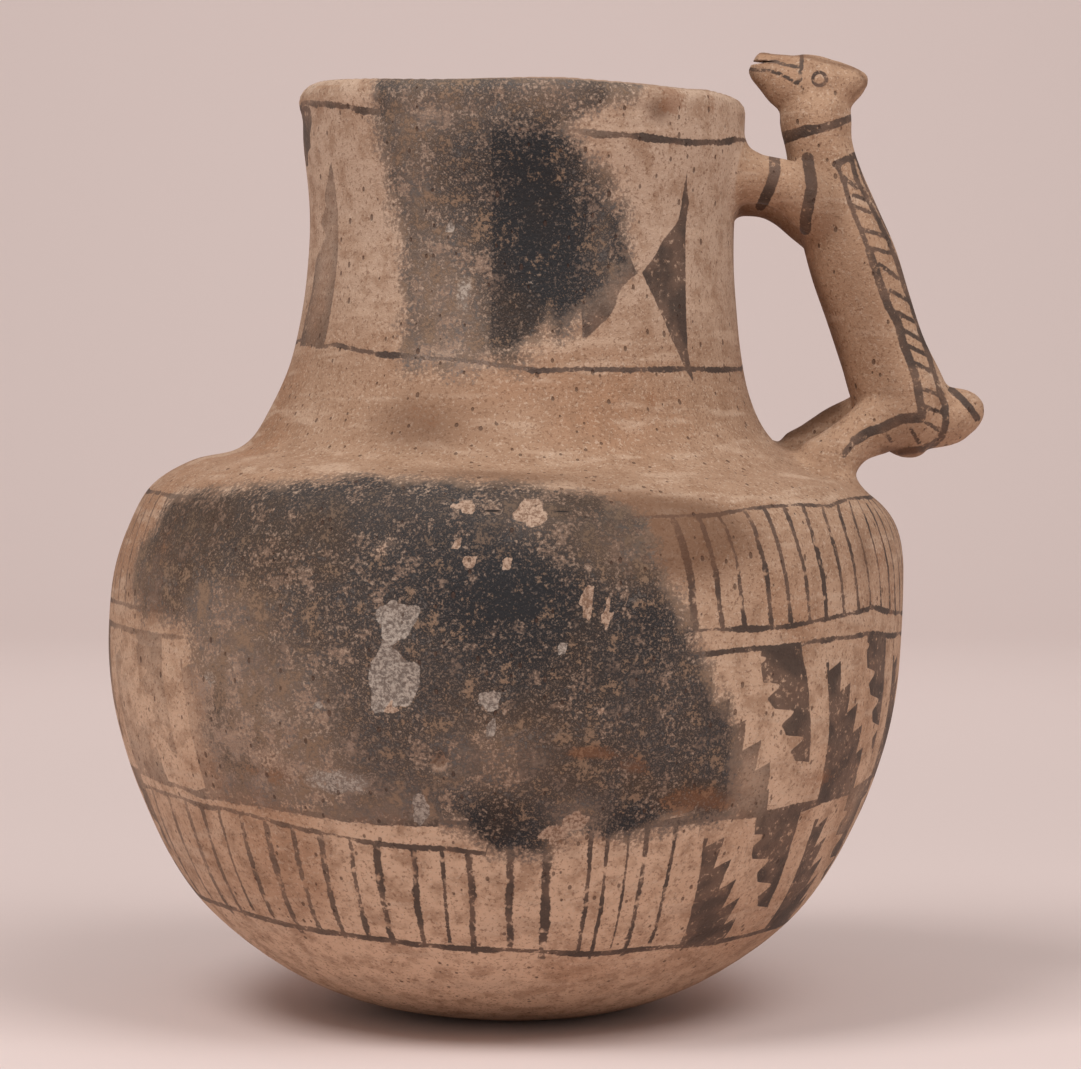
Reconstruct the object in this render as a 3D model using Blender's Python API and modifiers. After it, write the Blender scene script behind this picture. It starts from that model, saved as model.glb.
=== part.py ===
"""A painted pottery pitcher: a round-bottomed jar with a wide neck, whose handle is a
four-legged animal standing on the shoulder with its front feet against the neck.
Metres, +Z up. The origin is the centre of the small flat that the pitcher rests on, and
the handle is on the +X side."""

import math

import bmesh
import bpy
import numpy as np

# Jar, measured on its own axis from the lowest point of the round bottom
WALL = 0.005
BASE_CURVE = 0.136
BASE_RADIUS = 0.030
BELLY_RADIUS = 0.0819
BELLY_HEIGHT = 0.084
NECK_FOOT_RADIUS = 0.0528
NECK_FOOT_HEIGHT = 0.121
WAIST_RADIUS = 0.0440
WAIST_HEIGHT = 0.164
MOUTH_RADIUS = 0.0457
RIM_HEIGHT = 0.1905

# How far the hand-built rings sit off the axis towards the handle, at the shoulder and the
# neck, and over what height either side of the middle
SHOULDER_SWAY = 0.0017
SHOULDER_SWAY_HEIGHT = 0.105
SHOULDER_SWAY_SPREAD = 0.012
NECK_SWAY = 0.0008
NECK_SWAY_HEIGHT = 0.145
NECK_SWAY_SPREAD = 0.030

# How the jar stands: it leans towards its handle, on a worn flat
LEAN = math.radians(2.0)
FLAT_RADIUS = 0.018

# The animal of the handle
HEAD_RISE = 0.0105
HIND_FOOT_REACH = 0.0195
TORSO_WIDENING = 1.08
HEAD_WIDENING = 0.95

# Fineness of the faceted surfaces
SIDES = 60
WALL_STEPS = 2
LIP_STEPS = 3
FIGURE_VOXEL = 0.0009
FIGURE_SMOOTHING = 6
FIGURE_FACES_KEPT = 0.118

# Free curves of the jar, as shares of the distances between its named rings
BOWL_SHAPE = ((0.556, 0.119), (0.766, 0.286), (0.908, 0.524), (0.985, 0.762))
SHOULDER_SHAPE = ((0.945, 0.378), (0.820, 0.612), (0.545, 0.770), (0.212, 0.849))
NECK_SHAPE = ((0.440, 0.233), (0.114, 0.581))
MOUTH_SHAPE = ((0.950, 0.650),)

# The animal's centre lines and half thicknesses, in hundredths of its height. Each station
# is (out from the jar's neck, to the side, up from the shoulder, half thickness).
TORSO = (
    (50.3, 0, 10.9, 6.3),
    (45.9, 0, 13.5, 9.9),
    (41.2, 0, 20.3, 11.1),
    (36.9, 0, 30.0, 10.4),
    (33.0, 0, 40.5, 10.4),
    (29.2, 0, 50.8, 10.6),
    (25.2, 0, 61.2, 9.7),
    (21.8, 0, 71.0, 8.6),
    (19.9, 0, 78.5, 8.0),
    (18.9, 0, 84.8, 8.6),
    (18.9, 0, 89.4, 7.6),
    (19.1, 0, 92.8, 5.8),
)
HEAD = (
    (3.4, 0, 97.7, 2.0),
    (4.4, 0, 97.2, 3.2),
    (6.4, 0, 96.1, 4.3),
    (9.0, 0, 94.8, 5.6),
    (12.2, 0, 93.3, 6.9),
    (16.2, 0, 92.6, 7.5),
    (20.9, 0, 92.3, 7.3),
    (25.0, 0, 93.0, 5.8),
    (28.2, 0, 93.7, 3.9),
    (30.1, 0, 94.0, 2.4),
    (31.1, 0, 93.9, 1.1),
)
TAIL = (
    (46.3, 0, 15.8, 6.9),
    (53.2, 0, 15.8, 6.6),
    (57.2, 0, 16.4, 5.6),
    (60.0, 0, 16.8, 4.0),
    (61.7, 0, 17.0, 1.8),
)
FRONT_LEG = (
    (-6.0, 9.2, 70.7, 8.8),
    (1.4, 9.2, 70.1, 7.4),
    (4.4, 9.0, 69.6, 6.0),
    (9.0, 8.9, 69.0, 5.8),
    (13.6, 8.4, 67.5, 6.4),
    (18.2, 7.2, 64.8, 7.4),
    (23.4, 5.8, 60.2, 8.2),
)
NEAR_HIND_LEG = (
    (40.0, 4.6, 15.6, 8.6),
    (35.4, 6.4, 12.2, 7.1),
    (30.2, 8.0, 8.8, 5.8),
    (26.6, 8.9, 5.6, 6.3),
    (23.4, 9.6, 1.2, 8.6),
    (23.0, 9.9, -5.2, 11.5),
)
FAR_HIND_LEG = (
    (40.0, 4.6, 16.8, 8.6),
    (34.3, 6.4, 13.5, 6.9),
    (27.7, 8.0, 11.0, 5.8),
    (22.2, 8.9, 7.0, 5.8),
    (18.6, 9.6, 3.2, 7.3),
    (18.0, 9.9, -3.0, 10.0),
)
FAR_FRONT_DROP = 2.2


def clear_scene():
    for old in list(bpy.data.objects):
        bpy.data.objects.remove(old)


def collection(name):
    made = bpy.data.collections.new(name)
    bpy.context.scene.collection.children.link(made)
    return made


def principled(name, colour, roughness):
    material = bpy.data.materials.new(name)
    material.use_nodes = True
    shader = material.node_tree.nodes["Principled BSDF"]
    shader.inputs["Base Color"].default_value = (*colour, 1)
    shader.inputs["Roughness"].default_value = roughness
    shader.inputs["Metallic"].default_value = 0
    return material


def through(points, steps):
    """A smooth curve through the points: a centripetal Catmull-Rom spline. The first point
    is on the jar's axis, where the curve is level, so its neighbour is mirrored there."""
    points = [np.array(point) for point in points]
    before = points[1] * (-1, 1)
    after = 2 * points[-1] - points[-2]
    knots = [before, *points, after]
    curve = []
    for a, b, c, d in zip(knots, knots[1:], knots[2:], knots[3:]):
        ta = 0
        tb = ta + math.sqrt(np.linalg.norm(b - a))
        tc = tb + math.sqrt(np.linalg.norm(c - b))
        td = tc + math.sqrt(np.linalg.norm(d - c))
        for step in range(steps):
            t = tb + (tc - tb) * step / steps
            ab = ((tb - t) * a + (t - ta) * b) / (tb - ta)
            bc = ((tc - t) * b + (t - tb) * c) / (tc - tb)
            cd = ((td - t) * c + (t - tc) * d) / (td - tc)
            abc = ((tc - t) * ab + (t - ta) * bc) / (tc - ta)
            bcd = ((td - t) * bc + (t - tb) * cd) / (td - tb)
            curve.append(((tc - t) * abc + (t - tb) * bcd) / (tc - tb))
    return np.array([*curve, points[-1]])


def between(start, end, shape):
    """Points whose shares run from start (0) to end (1) in radius and in height."""
    return [
        (start[0] + across * (end[0] - start[0]), start[1] + up * (end[1] - start[1]))
        for across, up in shape
    ]


def base_height(radius):
    return BASE_CURVE - math.sqrt(BASE_CURVE**2 - radius**2)


def jar_rings():
    """The rings that shape the outer wall as (radius, height), bottom to lip."""
    base = [(share * BASE_RADIUS, base_height(share * BASE_RADIUS)) for share in (0, 0.5, 1)]
    belly = (BELLY_RADIUS, BELLY_HEIGHT)
    foot = (NECK_FOOT_RADIUS, NECK_FOOT_HEIGHT)
    waist = (WAIST_RADIUS, WAIST_HEIGHT)
    lip = (MOUTH_RADIUS, RIM_HEIGHT - WALL / 2)
    return [
        *base,
        *between((0, 0), belly, BOWL_SHAPE),
        belly,
        *between((foot[0], belly[1]), (belly[0], foot[1]), SHOULDER_SHAPE),
        foot,
        *between((waist[0], foot[1]), (foot[0], waist[1]), NECK_SHAPE),
        waist,
        *between(waist, lip, MOUTH_SHAPE),
        lip,
    ]


def inset(profile, depth):
    """The profile moved inwards by depth, square to itself."""
    along = np.gradient(profile, axis=0)
    along /= np.linalg.norm(along, axis=1)[:, None]
    moved = profile + depth * np.stack([-along[:, 1], along[:, 0]], axis=1)
    moved[0] = (0, profile[0][1] + depth)
    return moved


def lip_arc():
    """The rounded lip from the inner wall over to the outer wall."""
    middle = MOUTH_RADIUS - WALL / 2
    turns = [math.pi * (1 - step / (LIP_STEPS + 1)) for step in range(1, LIP_STEPS + 1)]
    return [
        (middle + WALL / 2 * math.cos(turn), RIM_HEIGHT - WALL / 2 + WALL / 2 * math.sin(turn))
        for turn in turns
    ]


def bump(height, middle, spread):
    return math.exp(-(((height - middle) / spread) ** 2))


def sway(height):
    """How far the ring at this height sits towards the handle."""
    shoulder = SHOULDER_SWAY * bump(height, SHOULDER_SWAY_HEIGHT, SHOULDER_SWAY_SPREAD)
    return shoulder + NECK_SWAY * bump(height, NECK_SWAY_HEIGHT, NECK_SWAY_SPREAD)


def turned(name, profile, into):
    """The profile turned round the jar's axis, each ring then slid by its sway. It runs up
    its inner side and down its outer."""
    mesh = bpy.data.meshes.new(name)
    made = bpy.data.objects.new(name, mesh)
    into.objects.link(made)
    shape = bmesh.new()
    points = [shape.verts.new((radius, 0, height)) for radius, height in profile]
    for one, two in zip(points, points[1:]):
        shape.edges.new((one, two))
    shape.to_mesh(mesh)
    shape.free()
    screw = made.modifiers.new("turn", "SCREW")
    screw.axis = "Z"
    screw.steps = SIDES
    screw.render_steps = SIDES
    screw.use_merge_vertices = True
    screw.merge_threshold = 1e-6
    screw.use_smooth_shade = True
    bpy.context.view_layer.update()
    whole = made.evaluated_get(bpy.context.evaluated_depsgraph_get())
    made.data = bpy.data.meshes.new_from_object(whole)
    made.modifiers.remove(screw)
    for vertex in made.data.vertices:
        vertex.co.x += sway(vertex.co.z)
    return made


def jar(into):
    outer = through(jar_rings(), WALL_STEPS)
    inner = inset(through(jar_rings(), 1), WALL)
    inner[-1] = (MOUTH_RADIUS - WALL, RIM_HEIGHT - WALL / 2)
    return turned("pitcher", [*inner, *lip_arc(), *outer[::-1]], into)


def core(into):
    """The jar's inside out to half its wall, which trims what reaches in from the handle."""
    middle = inset(through(jar_rings(), 1), WALL / 2)
    return helper(turned("core", [(0, middle[-1][1]), *middle[::-1]], into))


def helper(made):
    made.hide_render = True
    made.display_type = "WIRE"
    return made


def height_at(radius):
    """The height of the shoulder's outer surface at this radius."""
    wall = through(jar_rings(), 8)
    above = wall[wall[:, 1] > BELLY_HEIGHT]
    upper = above[above[:, 1] <= WAIST_HEIGHT]
    order = np.argsort(upper[:, 0])
    return float(np.interp(radius, upper[order, 0], upper[order, 1]))


def limb(name, stations, ground, size, side=1, drop=0.0, widening=1.0):
    """A rolled piece of clay along the stations: a tube whose thickness varies."""
    curve = bpy.data.curves.new(name, "CURVE")
    curve.dimensions = "3D"
    curve.bevel_depth = 1
    curve.bevel_resolution = 5
    curve.resolution_u = 5
    curve.use_fill_caps = True
    spline = curve.splines.new("BEZIER")
    spline.radius_interpolation = "CARDINAL"
    spline.bezier_points.add(len(stations) - 1)
    for point, (out, across, up, half) in zip(spline.bezier_points, stations):
        place = (out * size, side * across * size, (up - drop) * size)
        point.co = (place[0] + WAIST_RADIUS, place[1] / widening, place[2] + ground)
        point.radius = half * size
        point.handle_left_type = "AUTO"
        point.handle_right_type = "AUTO"
    made = bpy.data.objects.new(name, curve)
    made.scale.y = widening
    bpy.context.scene.collection.objects.link(made)
    return made


def joined(name, curves, into):
    """The curves as one mesh, each of them closed, and the curves removed."""
    bpy.context.view_layer.update()
    graph = bpy.context.evaluated_depsgraph_get()
    shape = bmesh.new()
    for curve in curves:
        piece = bpy.data.meshes.new_from_object(curve.evaluated_get(graph))
        piece.transform(curve.matrix_world)
        shape.from_mesh(piece)
        bpy.data.meshes.remove(piece)
        bpy.data.objects.remove(curve)
    bmesh.ops.remove_doubles(shape, verts=shape.verts, dist=1e-6)
    bmesh.ops.recalc_face_normals(shape, faces=shape.faces)
    mesh = bpy.data.meshes.new(name)
    shape.to_mesh(mesh)
    shape.free()
    made = bpy.data.objects.new(name, mesh)
    into.objects.link(made)
    return made


def boolean(target, other, operation):
    cut = target.modifiers.new(f"{operation.lower()} {other.name}", "BOOLEAN")
    cut.operation = operation
    cut.solver = "EXACT"
    cut.object = other


def animal(into, trimmer):
    """The handle: rolls of clay pressed together and smoothed over, as a potter does."""
    ground = height_at(WAIST_RADIUS + HIND_FOOT_REACH)
    height = RIM_HEIGHT + HEAD_RISE - ground
    size = height / 100
    rolls = [
        limb("torso", TORSO, ground, size, widening=TORSO_WIDENING),
        limb("head", HEAD, ground, size, widening=HEAD_WIDENING),
        limb("tail", TAIL, ground, size),
        limb("near_front", FRONT_LEG, ground, size, side=-1),
        limb("far_front", FRONT_LEG, ground, size, drop=FAR_FRONT_DROP),
        limb("near_hind", NEAR_HIND_LEG, ground, size, side=-1),
        limb("far_hind", FAR_HIND_LEG, ground, size),
    ]
    made = helper(joined("animal", rolls, into))
    fuse = made.modifiers.new("fuse", "REMESH")
    fuse.mode = "VOXEL"
    fuse.voxel_size = FIGURE_VOXEL
    smooth = made.modifiers.new("smooth", "SMOOTH")
    smooth.factor = 0.5
    smooth.iterations = FIGURE_SMOOTHING
    thin = made.modifiers.new("thin", "DECIMATE")
    thin.ratio = FIGURE_FACES_KEPT
    boolean(made, trimmer, "DIFFERENCE")
    return made


def ground_block(into):
    """What lies under the resting plane, which wears the round bottom flat."""
    side = 4 * BELLY_RADIUS
    mesh = bpy.data.meshes.new("ground")
    shape = bmesh.new()
    bmesh.ops.create_cube(shape, size=side)
    bmesh.ops.translate(shape, verts=shape.verts, vec=(0, 0, -side / 2))
    shape.to_mesh(mesh)
    shape.free()
    made = bpy.data.objects.new("ground", mesh)
    into.objects.link(made)
    return helper(made)


def standing(pieces):
    """An empty that leans the pieces and brings the centre of the flat to the origin."""
    stand = bpy.data.objects.new("stand", None)
    bpy.context.scene.collection.objects.link(stand)
    flat_depth = math.sqrt(BASE_CURVE**2 - FLAT_RADIUS**2)
    stand.rotation_euler.y = LEAN
    stand.location.x = -BASE_CURVE * math.sin(LEAN)
    stand.location.z = flat_depth - BASE_CURVE * math.cos(LEAN)
    for piece in pieces:
        piece.parent = stand


def main():
    clear_scene()
    parts = collection("pitcher")
    cutters = collection("cutters")
    clay = principled("clay", (0.47, 0.32, 0.22), 0.75)
    vessel = jar(parts)
    vessel.data.materials.append(clay)
    trimmer = core(cutters)
    handle = animal(cutters, trimmer)
    ground = ground_block(cutters)
    standing([vessel, trimmer, handle])
    boolean(vessel, handle, "UNION")
    boolean(vessel, ground, "DIFFERENCE")


main()
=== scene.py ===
# %% [markdown]
# # A painted pottery pitcher whose handle is a standing animal
# The real pitcher was coiled from buff clay, scraped smooth, painted in dark brown with a
# brush of plant fibre and fired in the open, where smoke blackened one side of it. The plain
# model holds its true size and outline. This lesson lays a finer surface over it, with the
# small unevenness of handwork, and then paints, smokes and wears that surface.

# %% Load the plain model
import math
import bmesh
import bpy
import numpy as np
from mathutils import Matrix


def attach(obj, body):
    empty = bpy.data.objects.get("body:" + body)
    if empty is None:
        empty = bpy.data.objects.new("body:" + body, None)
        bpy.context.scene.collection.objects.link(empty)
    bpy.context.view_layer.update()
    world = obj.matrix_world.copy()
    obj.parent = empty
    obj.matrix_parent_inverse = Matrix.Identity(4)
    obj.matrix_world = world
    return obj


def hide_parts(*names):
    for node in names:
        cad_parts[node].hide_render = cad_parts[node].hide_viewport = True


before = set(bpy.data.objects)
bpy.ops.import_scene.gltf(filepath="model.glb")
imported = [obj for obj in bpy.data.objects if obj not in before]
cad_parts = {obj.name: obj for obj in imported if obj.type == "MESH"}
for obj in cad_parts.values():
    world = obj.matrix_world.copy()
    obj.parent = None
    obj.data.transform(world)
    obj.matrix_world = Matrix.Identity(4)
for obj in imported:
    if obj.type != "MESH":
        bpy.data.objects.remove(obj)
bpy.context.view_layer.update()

# %% [markdown]
# ## The jar's outline
# A potter judges a jar by its profile: round bottom, wide belly, a soft crease where the neck
# starts, a waist, and a lip that opens a little. A profile could be drawn as one curve by
# hand, but it is surer to name the radius and height at each of those places and to run a
# smooth curve through them. The values are the plain model's own, in metres.

# %% The places that shape the profile
WALL = 0.005
BASE_CURVE, BASE_RADIUS = 0.136, 0.030
BELLY_RADIUS, BELLY_HEIGHT = 0.0819, 0.084
NECK_FOOT_RADIUS, NECK_FOOT_HEIGHT = 0.0528, 0.121
WAIST_RADIUS, WAIST_HEIGHT = 0.0440, 0.164
MOUTH_RADIUS, RIM_HEIGHT = 0.0457, 0.1905
BOWL_SHAPE = ((0.556, 0.119), (0.766, 0.286), (0.908, 0.524), (0.985, 0.762))
SHOULDER_SHAPE = ((0.945, 0.378), (0.820, 0.612), (0.545, 0.770), (0.212, 0.849))
NECK_SHAPE = ((0.440, 0.233), (0.114, 0.581))
MOUTH_SHAPE = ((0.950, 0.650),)


def between(start, end, shape):
    """Places whose shares run from start (0) to end (1) in radius and in height."""
    return [np.array(start) + np.array(share) * np.subtract(end, start) for share in shape]


def jar_places():
    """The (radius, height) of each shaping ring, from the bottom up to the lip."""
    radii = np.array([0, 0.5, 1]) * BASE_RADIUS
    base = np.stack([radii, BASE_CURVE - np.sqrt(BASE_CURVE**2 - radii**2)], axis=1)
    belly = (BELLY_RADIUS, BELLY_HEIGHT)
    foot = (NECK_FOOT_RADIUS, NECK_FOOT_HEIGHT)
    waist = (WAIST_RADIUS, WAIST_HEIGHT)
    lip = (MOUTH_RADIUS, RIM_HEIGHT - WALL / 2)
    shoulder = between((foot[0], belly[1]), (belly[0], foot[1]), SHOULDER_SHAPE)
    neck = between((waist[0], foot[1]), (foot[0], waist[1]), NECK_SHAPE)
    bowl = between((0, 0), belly, BOWL_SHAPE)
    mouth = between(waist, lip, MOUTH_SHAPE)
    return np.array([*base, *bowl, belly, *shoulder, foot, *neck, waist, *mouth, lip])


print(len(jar_places()), "places shape the jar")

# %% A smooth curve through given places
def smooth_through(places, before, steps):
    """A centripetal Catmull-Rom curve: each stretch b-c is blended from its neighbours a and
    d, with the pace between two places set to the square root of their distance."""
    knots = np.array([before, *places, 2 * places[-1] - places[-2]])
    a, b, c, d = (knots[k:len(knots) - 3 + k, None] for k in range(4))

    def pace(one, two):
        return np.sqrt(np.linalg.norm((two - one)[..., :3], axis=-1, keepdims=True))

    tb = pace(a, b)
    tc = tb + pace(b, c)
    td = tc + pace(c, d)
    t = tb + (tc - tb) * (np.arange(steps) / steps)[None, :, None]
    ab = ((tb - t) * a + t * b) / tb
    bc = ((tc - t) * b + (t - tb) * c) / (tc - tb)
    cd = ((td - t) * c + (t - tc) * d) / (td - tc)
    abc = ((tc - t) * ab + t * bc) / tc
    bcd = ((td - t) * bc + (t - tb) * cd) / (td - tb)
    curve = ((tc - t) * abc + (t - tb) * bcd) / (tc - tb)
    return np.concatenate([curve.reshape(-1, knots.shape[1]), places[-1:]])


places = jar_places()
outer = smooth_through(places, places[1] * (-1, 1), 24)
outer_climb = np.concatenate([[0], np.cumsum(np.linalg.norm(np.diff(outer, axis=0), axis=1))])
print("the wall climbs", round(1000 * outer_climb[-1], 1), "mm from bottom to lip")

# %% [markdown]
# ## The wall as one surface
# Any point of the wall has two addresses: its turn round the jar and its climb, the length up
# the wall from the bottom. The whole jar, inside, lip and outside, is one profile swept
# through a full turn, so it could be a screw modifier. A grid of numpy arrays is used instead,
# because the same two addresses then place each painted line.

# %% The profile: up the outside, over the lip, down the inside
def inset(profile, depth):
    """The profile moved inwards by depth, square to its own direction."""
    along = np.gradient(profile, axis=0)
    along /= np.linalg.norm(along, axis=1)[:, None]
    moved = profile + depth * np.stack([-along[:, 1], along[:, 0]], axis=1)
    moved[0] = (0, profile[0][1] + depth)
    return moved


def pick(profile, climb, wanted):
    """The profile's points at the wanted climbs, straight between its own."""
    return np.stack([np.interp(wanted, climb, profile[:, k]) for k in range(2)], axis=1)


def whole_profile():
    """Rows of (radius, height) from the outer bottom over the lip to the inner bottom, and
    each row's climb. The lip is half a circle as wide as the wall."""
    rows = np.concatenate([
        np.linspace(0, 0.060, 14)[:-1],
        np.linspace(0.060, 0.092, 14)[:-1],
        np.linspace(0.092, outer_climb[-1], 136),
    ])
    outside = pick(outer, outer_climb, rows)
    sparse = np.linspace(0, outer_climb[-1], 22)
    inner = inset(outer, WALL)
    inner[-1] = (MOUTH_RADIUS - WALL, RIM_HEIGHT - WALL / 2)
    inside = pick(inner, outer_climb, sparse)
    swing = np.linspace(0, math.pi, 8)[1:-1]
    centre = MOUTH_RADIUS - WALL / 2
    lip = np.stack([centre + WALL / 2 * np.cos(swing), RIM_HEIGHT - WALL / 2 + WALL / 2 * np.sin(swing)], 1)
    lip_climb = outer_climb[-1] + WALL / 2 * swing
    inside_climb = outer_climb[-1] + math.pi * WALL / 2 + outer_climb[-1] - sparse
    profile = np.concatenate([outside, lip, inside[::-1]])
    return profile, np.concatenate([rows, lip_climb, inside_climb[::-1]])


profile, row_climb = whole_profile()
print(len(profile), "rings make the jar")

# %% [markdown]
# ## Uneven by hand
# No coiled jar is round. Its rings sit a little towards the handle at the shoulder, the lip
# rises and falls by about a millimetre, and the scraped wall has shallow dips. The lip's height
# was measured along the photograph. The dips are sums of a few slow waves, all of them inwards,
# so the jar keeps the size of the plain model.

# %% Waves, dips and the sway of the rings
def bump(value, middle, spread):
    """A bell: 1 at the middle, falling off by the square of the distance over the spread."""
    return np.exp(-(((value - middle) / spread) ** 2))


def sway(height):
    """How far the ring at this height sits towards the handle, in metres."""
    return 0.0017 * bump(height, 0.105, 0.012) + 0.0008 * bump(height, 0.145, 0.030)


LIP_PLACES = [(-160, 0.0), (-148, -0.2), (-136, -0.4), (-124, -0.7), (-112, -0.8), (-104, -0.7),
              (-97, -0.4), (-90, -0.1), (-79, 0.2), (-63, 0.0), (-42, -0.1), (-33, 0.3), (-3, -0.2),
              (40, 0.1), (90, -0.3), (140, -0.5), (175, -0.1)]


def by_turn(measured, turn):
    """The measured (turn, value) pairs joined by straight lines all the way round."""
    turns, values = np.array(measured, float).T
    return np.interp(turn, turns, values, period=360)


DIP_DEPTH, CHIP_DEPTH, LIP_SWELL = 0.00030, 0.00010, 0.0010


def handwork(radius, height, turn, climb):
    """Radius and height with the slow waves of handwork, in metres, at a turn in degrees. Just
    under its edge the lip swells out a little on the side away from the handle."""
    around = np.radians(turn)
    near_lip = bump(height, RIM_HEIGHT, 0.010)
    dips = 0.5 + 0.25 * np.sin(3 * around + 70 * climb) + 0.25 * np.sin(5 * around - 110 * climb + 2)
    dips = dips + 0.12 * np.sin(13 * around + 260 * climb) * np.sin(210 * climb)
    radius = radius - (0.00005 + DIP_DEPTH * np.clip(dips, 0, 1.2)) * np.clip(radius / 0.02, 0, 1)
    left = (0.5 - 0.5 * np.cos(around)) ** 2
    radius = radius + LIP_SWELL * left * bump(height, 0.1868, 0.0024)
    chips = np.sin(37 * around) * np.sin(53 * around + 1) + 0.6 * np.sin(97 * around + 2)
    chips = CHIP_DEPTH * np.clip(chips, 0, 1) * bump(height, RIM_HEIGHT, 0.0012)
    return radius, height + 0.001 * by_turn(LIP_PLACES, turn) * near_lip - chips


def extra_sway(height):
    """The crease under the neck sits further towards the handle still."""
    return 0.0014 * bump(height, 0.1155, 0.005)


print("lip heights vary by", max(v for _, v in LIP_PLACES) - min(v for _, v in LIP_PLACES), "mm")

# %% A mesh from arrays
def new_mesh(name, points, faces):
    """An object whose mesh has these points, and the faces of each of these arrays."""
    mesh = bpy.data.meshes.new(name)
    mesh.from_pydata(points.tolist(), [], sum((part.tolist() for part in faces), []))
    mesh.update()
    made = bpy.data.objects.new(name, mesh)
    bpy.context.scene.collection.objects.link(made)
    return made


def grid_faces(rows, columns):
    """Four-sided faces of a closed sleeve of rings, with a fan on a pole at each end. The
    poles are the last two points: the first ring's, then the last ring's."""
    index = np.arange(rows * columns).reshape(rows, columns)
    after = np.roll(index, -1, axis=1)
    sides = np.stack([index[:-1], after[:-1], after[1:], index[1:]], axis=-1).reshape(-1, 4)
    first, last = rows * columns, rows * columns + 1
    start = np.stack([np.full(columns, first), after[0], index[0]], axis=1)
    end = np.stack([np.full(columns, last), index[-1], after[-1]], axis=1)
    return [sides, start, end]


# %% [markdown]
# ## Knocks
# The surface has flaked off in a few places and grit has fallen out in others. They are shallow
# hollows in the wall itself, each a little dish with a short slope for an edge, placed by turn
# and climb as they lie on the photograph. Grey lime or bare tan clay shows in some of them.

# %% Hollows: turn, climb, half width, half height and depth in mm
GREY_HOLLOWS = [(-104.2, 135.3, 3.9, 3.9, 0.45), (-104.4, 124.2, 5.1, 6.0, 0.45),
                (-91.3, 121.2, 1.9, 1.9, 0.35), (-91, 116.0, 1.1, 1.5, 0.25),
                (-100.8, 98.8, 1.5, 3.2, 0.25), (-108.4, 227.0, 0.9, 1.2, 0.3),
                (-115.2, 118.5, 1.2, 0.9, 0.2), (-82, 131.3, 1.0, 1.0, 0.2), (115, 104.0, 1.6, 2.4, 0.3)]
TAN_HOLLOWS = [(-88, 157.6, 3.0, 3.6, 0.5), (-97.5, 158.5, 2.4, 1.6, 0.35), (-95.5, 147.0, 1.5, 1.2, 0.25),
               (-90.6, 146.6, 1.0, 1.3, 0.3), (-79.2, 140.0, 1.1, 3.6, 0.25), (-76.4, 138.2, 0.9, 3.2, 0.2),
               (-97.6, 150.4, 1.1, 0.9, 0.2), (-81.8, 94.6, 2.2, 1.7, 0.3), (-78.6, 97.6, 2.4, 1.8, 0.3),
               (-104.4, 118.6, 1.4, 1.0, 0.2), (-76.5, 119.5, 0.9, 0.9, 0.2), (120, 118.0, 3.0, 2.4, 0.4)]
PLAIN_HOLLOWS = [(-98, 109.0, 1.5, 1.4, 1.3), (-142.3, 123.8, 1.1, 1.2, 0.7), (-93.4, 157.2, 2.0, 0.9, 0.5),
                 (-83.6, 157.6, 1.9, 0.9, 0.5), (-113, 251.5, 1.8, 2.2, 0.4), (-128, 250.5, 1.4, 1.6, 0.3),
                 (-96, 252.0, 2.0, 1.8, 0.35), (-60, 251.5, 2.2, 1.6, 0.3), (78, 150.0, 2.2, 2.8, 0.35),
                 (165, 92.0, 2.6, 2.0, 0.35), (30, 238.0, 1.6, 1.8, 0.3)]


def reach_of(hollow, turn, climb, radius):
    """1 on the hollow's edge and less inside it: the distance from its middle in half widths
    and half heights. The edge wavers, so that it isn't a true oval."""
    across, up, half_width, half_height = hollow[:4]
    right = 1000 * radius * np.radians((turn - across + 180) % 360 - 180) / half_width
    over = (1000 * climb - up) / half_height
    around = np.arctan2(over, right)
    waver = 0.12 * np.sin(3 * around + up) + 0.09 * np.sin(5 * around + across) + 0.05 * np.sin(9 * around)
    return np.hypot(right, over) * (1 + waver)


def hollow_depth(turn, climb, radius):
    """Depth in metres: a smooth step from 0 outside the edge to the full depth inside it."""
    total = 0 * turn * climb
    for hollow in GREY_HOLLOWS + TAN_HOLLOWS + PLAIN_HOLLOWS:
        share = np.clip((1.15 - reach_of(hollow, turn, climb, radius)) / 0.45, 0, 1)
        total = np.maximum(total, 0.001 * hollow[4] * share * share * (3 - 2 * share))
    return total


# %% The jar's surface
COLUMN_TURNS = np.concatenate([np.arange(-170, -10, 0.60), np.linspace(-9.5, 190, 108)[:-1]])


def jar_surface():
    """Each ring of the profile turned round the axis: x = radius cos + sway, y = radius sin.
    A hollow moves the point inwards, square to the profile."""
    ring = profile[1:-1]
    along = np.gradient(profile, axis=0)[1:-1]
    along /= np.linalg.norm(along, axis=1)[:, None]
    turn = COLUMN_TURNS
    radius, height = handwork(ring[:, :1], ring[:, 1:], turn[None], row_climb[1:-1, None])
    depth = hollow_depth(turn[None], row_climb[1:-1, None], radius)
    radius = radius - depth * np.abs(along[:, 1:])
    height = height - depth * np.abs(along[:, :1]) * np.sign(ring[:, 1:] - BELLY_HEIGHT)
    around = np.radians(turn)
    x = radius * np.cos(around) + sway(height) + extra_sway(height)
    y = radius * np.sin(around) + 0 * height
    points = np.stack([x, y, height], axis=-1).reshape(-1, 3)
    poles = np.array([[0, 0, profile[0, 1]], [0, 0, profile[-1, 1]]])
    return np.concatenate([points, poles]), len(ring)


jar_points, ring_count = jar_surface()
jar = new_mesh("jar", jar_points, grid_faces(ring_count, len(COLUMN_TURNS)))
print("the jar has", len(jar.data.polygons), "faces")

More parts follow.
